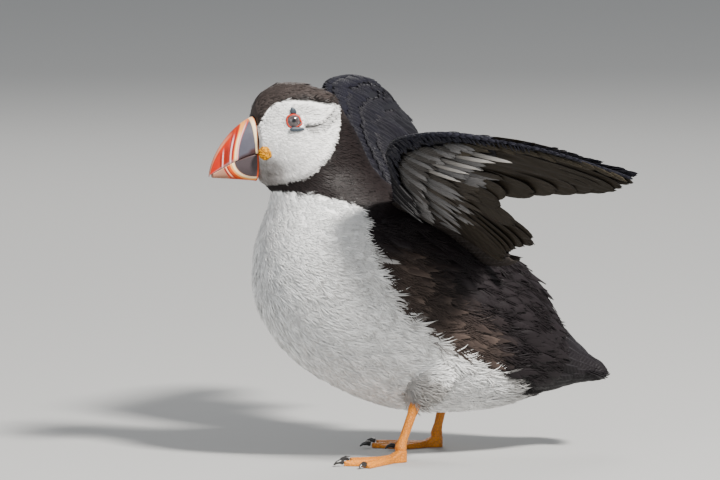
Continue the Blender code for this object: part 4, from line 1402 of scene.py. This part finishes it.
def billRings(upper):
    # rings from the base of the bill to its tip, each an arch over the gape or under it
    steps, turns = 110, 90
    angle = math.pi * np.arange(turns + 1) / turns
    rings = []
    for step in range(steps + 1):
        share = bill["reach"][0 if upper else 1] * (step / steps) ** 0.9
        ridge, gape, lower = billEdges(share)
        half = bill["half"] * (1 - share ** 1.6) ** 0.7 + 0.7
        if upper:
            low = min(gape + 0.2, ridge - 0.8)
            height = low + (ridge - low) * np.sin(angle) ** 0.62
            side = half * np.cos(angle)
        else:
            height = gape - 0.2 - (gape - 0.2 - lower) * np.sin(angle) ** 0.8
            side = half * 0.94 * np.cos(angle)
        lean = (height - bill["middle"]) * bill["lean"] * (1 - share)
        rings.append(np.column_stack([bill["base"] + bill["length"] * share + lean, side, height]))
    return np.array(rings)


def buildBill(upper, material):
    rings = billRings(upper)
    forward, up = rings[..., 0], rings[..., 2]
    colour = np.tile(np.array(bill["red" if upper else "orange"]), (*forward.shape, 1))
    grooved = np.zeros(forward.shape)

    def paint(name, share):
        nonlocal colour
        colour = colour * (1 - share[..., None]) + np.array(bill[name]) * share[..., None]

    def soft(name, value):
        return smoothStep(*billFades[name], value)

    fromBase = forward - (bill["base"] + (up - bill["middle"]) * bill["lean"])
    ridge, gape = billEdges(np.clip((forward - bill["base"]) / bill["length"], 0, 1))[:2]
    if upper:
        above = np.maximum(up - gape, 0)
        paint("orange", soft("glow", above) * soft("glowAlong", forward) * 0.5)
        paint("orange", soft("ridgeGlow", ridge - up) * 0.35)

        def past(foot, bend):
            # how far ahead of a bent line
            slope = bend * bill["bend"] * above ** (bill["bend"] - 1)
            return (forward - foot + bend * above ** bill["bend"]) / np.hypot(1, slope)

        for foot, name, half, bend, top in bill["lines"]:
            away = np.abs(past(foot, bend))
            fading = smoothStep(top + 3, top - 3, up)
            paint(name, smoothStep(half * 1.35, half * 0.7, away) * fading * 0.92)
            # the groove lines are dented in and painted dark red as shade
            if name == "groove":
                grooved += np.exp(-(away / 0.4) ** 2) * fading
        slate = soft("slate", past(*bill["slateEdge"]))
        paint("slate", slate)
        grooved += 0.5 * slate
        # dark corner of the gape
        paint("gapeLine", soft("corner", above - 0.40 * (99.5 - forward)) * 0.85)
        fleshy = bill["fleshy"] * (0.75 + 0.035 * np.maximum(up - 180, 0))
        rim = soft("rim", fromBase - fleshy)
        paint("cream", rim)
        paint("peach", soft("rimPeachUp", up) * soft("rimPeachAlong", forward) * 0.55)
        paint("orange", soft("skirt", fromBase) * 0.75)
        grooved -= 0.9 * rim
        # painted highlight: a pale pink along the ridge
        paint("pink", soft("ridgeHighlight", ridge - up) * soft("ridgeHighlightAlong", forward) * 0.55)
        paint("lilac", soft("cutting", above) * soft("cuttingAlong", forward) * 0.5)
    else:
        low = bill["low"]
        oval = np.hypot((forward - low["forward"]) / low["long"], (up - low["up"]) / low["deep"])
        ahead = np.where(forward > low["forward"], oval - 1, (low["up"] - up) / low["deep"] - 1) * 10.8
        paint("horn", soft("horn", ahead) * soft("hornAlong", forward))
        for foot, name, half in bill["lowLines"]:
            away = np.abs(ahead - foot)
            fading = np.ones(forward.shape)
            # groove lines on the lower half are dented too and painted dark red as shade
            if name == "groove":
                fading = np.maximum(soft("grooveAlong", forward), 0.5)
                grooved += np.exp(-(away / 0.4) ** 2)
            if name == "pink":
                fading = soft("pinkUp", up)
            paint(name, smoothStep(half * 1.3, half * 0.7, away) * fading)
        slate = soft("slateLow", ahead)
        paint("slateLow", slate)
        grooved += 0.4 * slate
        paint("gapeLine", soft("gapeDark", gape - up) * soft("gapeDarkAlong", forward) * 0.8)
        paint("orange", soft("skirtLow", fromBase) * 0.9)
        paint("cream", soft("gapeCream", gape - up) * soft("gapeCreamAlong", forward) * 0.4)
    rings[..., 1] *= 1 - 0.045 * np.clip(grooved, -1, 1.4)
    verts, faces = loft(rings)
    made = meshObject("billUpper" if upper else "billLower", verts, faces)
    ends = [colour[0].mean(axis=0)[None], colour[-1].mean(axis=0)[None]]
    colourAttribute(made.data, "plume", np.concatenate([colour.reshape(-1, 3), *ends]))
    orient(made)
    made.data.materials.append(material)
    unwrap(made)
    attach(made, "root")
    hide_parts("bill_upper" if upper else "bill_lower")


def hornPaint():
    s = Sheet("billHorn")
    stain = s.noise(300.0, 4.0)
    fine = s.noise(1500.0, 3.0)
    colour = s.shade(s.attribute("plume", "Color"), 0.84 + 0.28 * stain)
    return s.set(colour=colour, roughness=0.38 + 0.16 * stain, coat=0.05, specular=0.2,
                 normal=s.bumpNormal(stain + 0.4 * fine, 0.22, 0.0003))


def flatPaint(name, tint, rough, coat=0.0, grain=500.0, rise=0.3):
    s = Sheet(name)
    stain = s.noise(grain, 4.0)
    colour = s.mix(stain, tuple(c * 0.72 for c in tint), tuple(min(c * 1.25, 1) for c in tint))
    return s.set(colour=colour, roughness=rough, coat=coat, normal=s.bumpNormal(stain, rise, 0.0003))


def foldPaint(name, tint, wrinkleShade, rough):
    # bright skin with darker wrinkles, the dark in them painted shade
    s = Sheet(name)
    stain = s.noise(500.0, 4.0)
    wrinkle = s.noise(330.0, 2.0)
    line = wrinkle.bump(0.5, 0.055)
    colour = s.mix(stain, tuple(c * 0.80 for c in tint), tint)
    colour = s.mix(line * 0.85, colour, wrinkleShade)
    return s.set(colour=colour, roughness=rough, normal=s.bumpNormal(1 - line, 0.4, 0.0004), specular=0.12)


def glassPaint(name, rough, coat):
    s = Sheet(name)
    return s.set(colour=s.attribute("plume", "Color"), roughness=rough, coat=coat)


def ball(centre, radii, shape=None):
    # a rounded lump in the (forward, left, up) frame; shape may rework its unit sphere
    segments, rings = 64, 40
    theta = (np.pi * np.arange(1, rings) / rings)[:, None]
    phi = 2 * np.pi * np.arange(segments) / segments
    sphere = np.stack([np.sin(theta) * np.cos(phi), np.sin(theta) * np.sin(phi),
                       np.cos(theta) * np.ones(segments)], axis=-1)
    points = sphere * np.array(radii) if shape is None else shape(sphere)
    return points + np.array(centre)


def nodeSpot(node):
    # centre of a node in (forward, left, up), and which side it is on
    spot = unplace(np.array(middle(node))[None])[0]
    return spot, (1 if spot[1] > 0 else -1)


eyeLook = {
    "axis": (0.26, 0.955, 0.10), "iris": 3.45, "pupil": 1.25, "ringAway": 3.80, "ringThick": 0.55,
    "pupilColour": (0.004, 0.004, 0.005), "irisColour": (0.050, 0.037, 0.038),
    "rimColour": (0.20, 0.19, 0.20), "whiteColour": (0.015, 0.010, 0.010),
    "ringColour": (0.46, 0.022, 0.0005),
    "around": 96, "turns": 14,          # segments round the eye, and round the ring's own thickness
    # the ring's corners: turn round the eye from its front, how far out, how wide
    "corners": ((197, 0.30, 17), (38, 0.10, 22), (142, 0.06, 20), (300, 0.05, 24)),
}


def buildEye(sideName, paint, ringPaint):
    spot, side = nodeSpot(f"eye_{sideName}")
    axis = unit(np.array(eyeLook["axis"]) * (1, side, 1))
    verts, faces = loft(ball(spot, (eye["radius"] - 0.05,) * 3))
    made = meshObject(f"eyeball_{sideName}", verts, faces)
    away = unplace(verts) - spot
    angle = np.degrees(np.arccos(np.clip(unit(away) @ axis, -1, 1)))
    pupil, iris = (math.degrees(math.asin(eyeLook[key] / eye["radius"])) for key in ("pupil", "iris"))
    inner = smoothStep(pupil + 4, pupil - 4, angle)[:, None]
    outer = smoothStep(iris + 2, iris - 2, angle)[:, None]
    rays = 1 + 0.12 * np.sin(np.arctan2(away[:, 2], away[:, 0]) * 31)[:, None]
    rim = np.exp(-((angle - iris + 4) / 3.0) ** 2)[:, None] * 0.6
    colour = np.array(eyeLook["irisColour"]) * rays * (1 - rim) + np.array(eyeLook["rimColour"]) * rim
    colour = np.array(eyeLook["whiteColour"]) * (1 - outer) + colour * outer
    colour = colour * (1 - inner) + np.array(eyeLook["pupilColour"]) * inner
    colourAttribute(made.data, "plume", colour)
    orient(made)
    made.data.materials.append(paint)
    unwrap(made)
    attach(made, "root")
    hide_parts(f"eye_{sideName}")
    # the bare red ring, drawn out to a corner behind the eye
    across = unit(np.cross(axis, (0, 0, 1))) * side
    above = np.cross(across, axis) * side
    around, turns, away = eyeLook["around"], eyeLook["turns"], eyeLook["ringAway"]
    stops = []
    for index in range(around):
        turn = 2 * math.pi * index / around
        reach = away
        for corner, out, wide in eyeLook["corners"]:
            gap = (math.degrees(turn) - corner + 180) % 360 - 180
            reach += away * out * math.exp(-(gap / wide) ** 2)
        rise = math.sqrt(eye["radius"] ** 2 - away ** 2) + 0.10 - 0.25 * (reach - away)
        stops.append(spot + axis * rise + (across * math.cos(turn) + above * math.sin(turn)) * reach)
    stops = np.array(stops)
    angle = 2 * math.pi * np.arange(turns) / turns
    rings = []
    for index in range(around):
        out = unit(stops[index] - spot)
        other = np.cross(unit(stops[(index + 1) % around] - stops[index - 1]), out)
        thick = eyeLook["ringThick"] * (1 + 0.10 * math.sin(index * 1.7))
        spokes = 0.55 * np.outer(np.cos(angle), out) + np.outer(np.sin(angle), other)
        rings.append(stops[index] + thick * spokes)
    verts = place(np.concatenate(rings))
    faces = []
    for index in range(around):
        here, there = index * turns, (index + 1) % around * turns
        for j in range(turns):
            k = (j + 1) % turns
            faces.append((here + j, there + j, there + k, here + k))
    ring = meshObject(f"eyeRing_{sideName}", verts, faces)
    orient(ring)
    ring.data.materials.append(ringPaint)
    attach(ring, "root")


def buildLump(name, node, shape, material):
    low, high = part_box(node)
    spot = nodeSpot(node)[0]
    radii = np.array(high - low) * 1000 / 2
    verts, faces = loft(ball(spot, radii, lambda sphere: shape(sphere, radii)))
    made = meshObject(name, verts, faces)
    orient(made)
    made.data.materials.append(material)
    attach(made, "root")
    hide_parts(node)
    return made


def plateUpShape(sphere, radii):
    # a small horn standing on the eye, squared below and leaning forward at its top
    out = np.sign(sphere) * np.abs(sphere) ** 0.8 * radii
    height = (sphere[..., 2] + 1) / 2
    out[..., 0] = out[..., 0] * (1.25 - 0.75 * height) + radii[0] * 0.40 * height
    return out


def plateLowShape(sphere, radii):
    # a wedge drawn out to a point behind the eye
    out = np.sign(sphere) * np.abs(sphere) ** 0.85 * radii
    out[..., 2] *= 0.55 + 0.45 * (sphere[..., 0] + 1) / 2
    out[..., 0] += 0.7
    out[..., 2] += 0.45
    return out


def rosetteShape(sphere, radii):
    # folded skin: uneven ridges that fan out from the corner of the gape
    fan = np.arctan2(sphere[..., 2], sphere[..., 0] - 1.3)
    fold = 0.5 + 0.5 * np.sin(fan * 17.0 + 1.5 * np.sin(sphere[..., 0] * 4.0 + sphere[..., 2] * 2.0))
    return sphere * radii * (0.93 + 0.12 * fold ** 0.6)[..., None]


def fused(name, nodes, voxel, material, settle=4, joint=None):
    # smooth fine copy of faceted nodes that meet; joint is a ball that closes the cut between them
    bm = bmesh.new()
    if joint:
        bmesh.ops.create_icosphere(bm, subdivisions=3, radius=joint[1], matrix=Matrix.Translation(joint[0]))
    for node in nodes:
        bm.from_mesh(bpy.data.objects[node].data)
    bmesh.ops.remove_doubles(bm, verts=bm.verts, dist=1e-6)
    made = welded(fromBmesh(name, bm), voxel, settle)
    made.data.materials.clear()
    made.data.materials.append(material)
    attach(made, "root")
    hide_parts(*nodes)
    return made


def legPaint():
    s = Sheet("legSkin")
    scales = s.node("ShaderNodeTexVoronoi", {"feature": "DISTANCE_TO_EDGE"},
                    {"Vector": s.object(), "Scale": 620.0}, "Distance")
    lines = 1 - scales.step(0.0, 0.16)
    dirt = s.noise(160.0, 4.0)
    colour = s.mix(dirt, (0.55, 0.150, 0.002), (0.76, 0.27, 0.006))
    colour = s.mix(lines * 0.5, colour, (0.26, 0.080, 0.012))
    return s.set(colour=colour, roughness=0.5, normal=s.bumpNormal(scales.step(0.0, 0.25), 0.5, 0.0004))


# the pale of the quills and the painted sheen on the vanes' edges
vane = vanePaint("wingVane", (0.085, 0.080, 0.090), 0.60)
for sideName, wing in wings.items():
    stands = ((f"wing_forearm_{sideName}", f"wing_hand_{sideName}"), (f"wing_arm_{sideName}",), ())
    for piece, nodes in zip(featherWing(sideName, wing, vane), stands):
        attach(piece, "root")
        if nodes:
            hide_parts(*nodes)
tail = featherTail(vane)
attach(tail, "root")
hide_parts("tail")
print("wings and tail done")

horn = hornPaint()
for upper in (True, False):
    buildBill(upper, horn)
eyePaint = glassPaint("eyeGlass", 0.08, 1.0)
ringPaint = flatPaint("eyeRing", eyeLook["ringColour"], 0.45, 0.1, 1200.0)
platePaint = flatPaint("eyePlate", (0.026, 0.037, 0.050), 0.5, 0.0, 900.0, 0.4)
rosettePaint = foldPaint("rosetteSkin", (0.58, 0.245, 0.0), (0.10, 0.022, 0.001), 0.60)
for sideName in ("left", "right"):
    buildEye(sideName, eyePaint, ringPaint)
    buildLump(f"plateUpper_{sideName}", f"eye_plate_upper_{sideName}", plateUpShape, platePaint)
    buildLump(f"plateLower_{sideName}", f"eye_plate_lower_{sideName}", plateLowShape, platePaint)
    buildLump(f"gapeRosette_{sideName}", f"rosette_{sideName}", rosetteShape, rosettePaint)
print("head pieces done")

legSkin = legPaint()
clawPaint = flatPaint("clawHorn", (0.016, 0.014, 0.013), 0.3, 0.2, 400.0, 0.2)
for sideName, leg in legs.items():
    ankle = place([leg["ankle"]], leg["side"])[0]
    fused(f"leg_{sideName}", (f"tarsus_{sideName}", f"foot_{sideName}"), 0.00045, legSkin,
          joint=(Vector(ankle) - Vector((0, 0, 0.0008)), 0.0034))
    for toe in ("inner", "middle", "outer"):
        fused(f"nail_{toe}_{sideName}", (f"claw_{toe}_{sideName}",), 0.00022, clawPaint, 3)
print("legs done")


def studio():
    bm = bmesh.new()
    bmesh.ops.create_grid(bm, x_segments=1, y_segments=1, size=40)
    floor = fromBmesh("floor", bm)
    s = Sheet("floorPaint")
    floor.data.materials.append(s.set(colour=(0.37, 0.37, 0.365), roughness=0.85))
    world = bpy.data.worlds.new("studio")
    bpy.context.scene.world = world
    world.use_nodes = True
    world.node_tree.nodes["Background"].inputs["Color"].default_value = (0.88, 0.92, 0.97, 1)
    world.node_tree.nodes["Background"].inputs["Strength"].default_value = 0.48
    for name, spot, size, power, colour in (
            ("key", (0.7, -2.1, 2.3), 0.45, 315, (1.0, 0.97, 0.92)),
            ("fill", (-1.9, -1.5, 1.0), 1.6, 16, (0.92, 0.96, 1.0)),
            ("back", (0.6, 2.2, 1.6), 1.0, 26, (1.0, 0.97, 0.93))):
        data = bpy.data.lights.new(name, "AREA")
        data.size = size
        data.energy = power
        data.color = colour
        lamp = linked(name, data)
        lamp.location = spot
        lamp.rotation_euler = (Vector((0, 0, 0.11)) - Vector(spot)).to_track_quat("-Z", "Y").to_euler()


shot = {"yaw": -20.0, "pitch": 5.0, "distance": 4.5, "width": 0.410, "aside": -0.023, "above": 0.1225}


def camera():
    # aside and above: metres across the view from the body frame's origin to the middle of the view
    yaw, pitch = math.radians(shot["yaw"]), math.radians(shot["pitch"])
    right = Vector((math.cos(yaw), math.sin(yaw), 0))
    look = Vector((-math.sin(yaw) * math.cos(pitch), math.cos(yaw) * math.cos(pitch), -math.sin(pitch)))
    up = right.cross(look)
    base = Vector((-origin["forward"], -origin["left"], 0)) / 1000
    target = base + right * shot["aside"] + up * shot["above"]
    data = bpy.data.cameras.new("camera")
    data.sensor_width = 36
    data.lens = 36 / shot["width"] * shot["distance"]
    data.clip_end = 100
    made = linked("camera", data)
    made.location = target - look * shot["distance"]
    made.rotation_euler = look.to_track_quat("-Z", "Y").to_euler()
    bpy.context.scene.camera = made


studio()
camera()
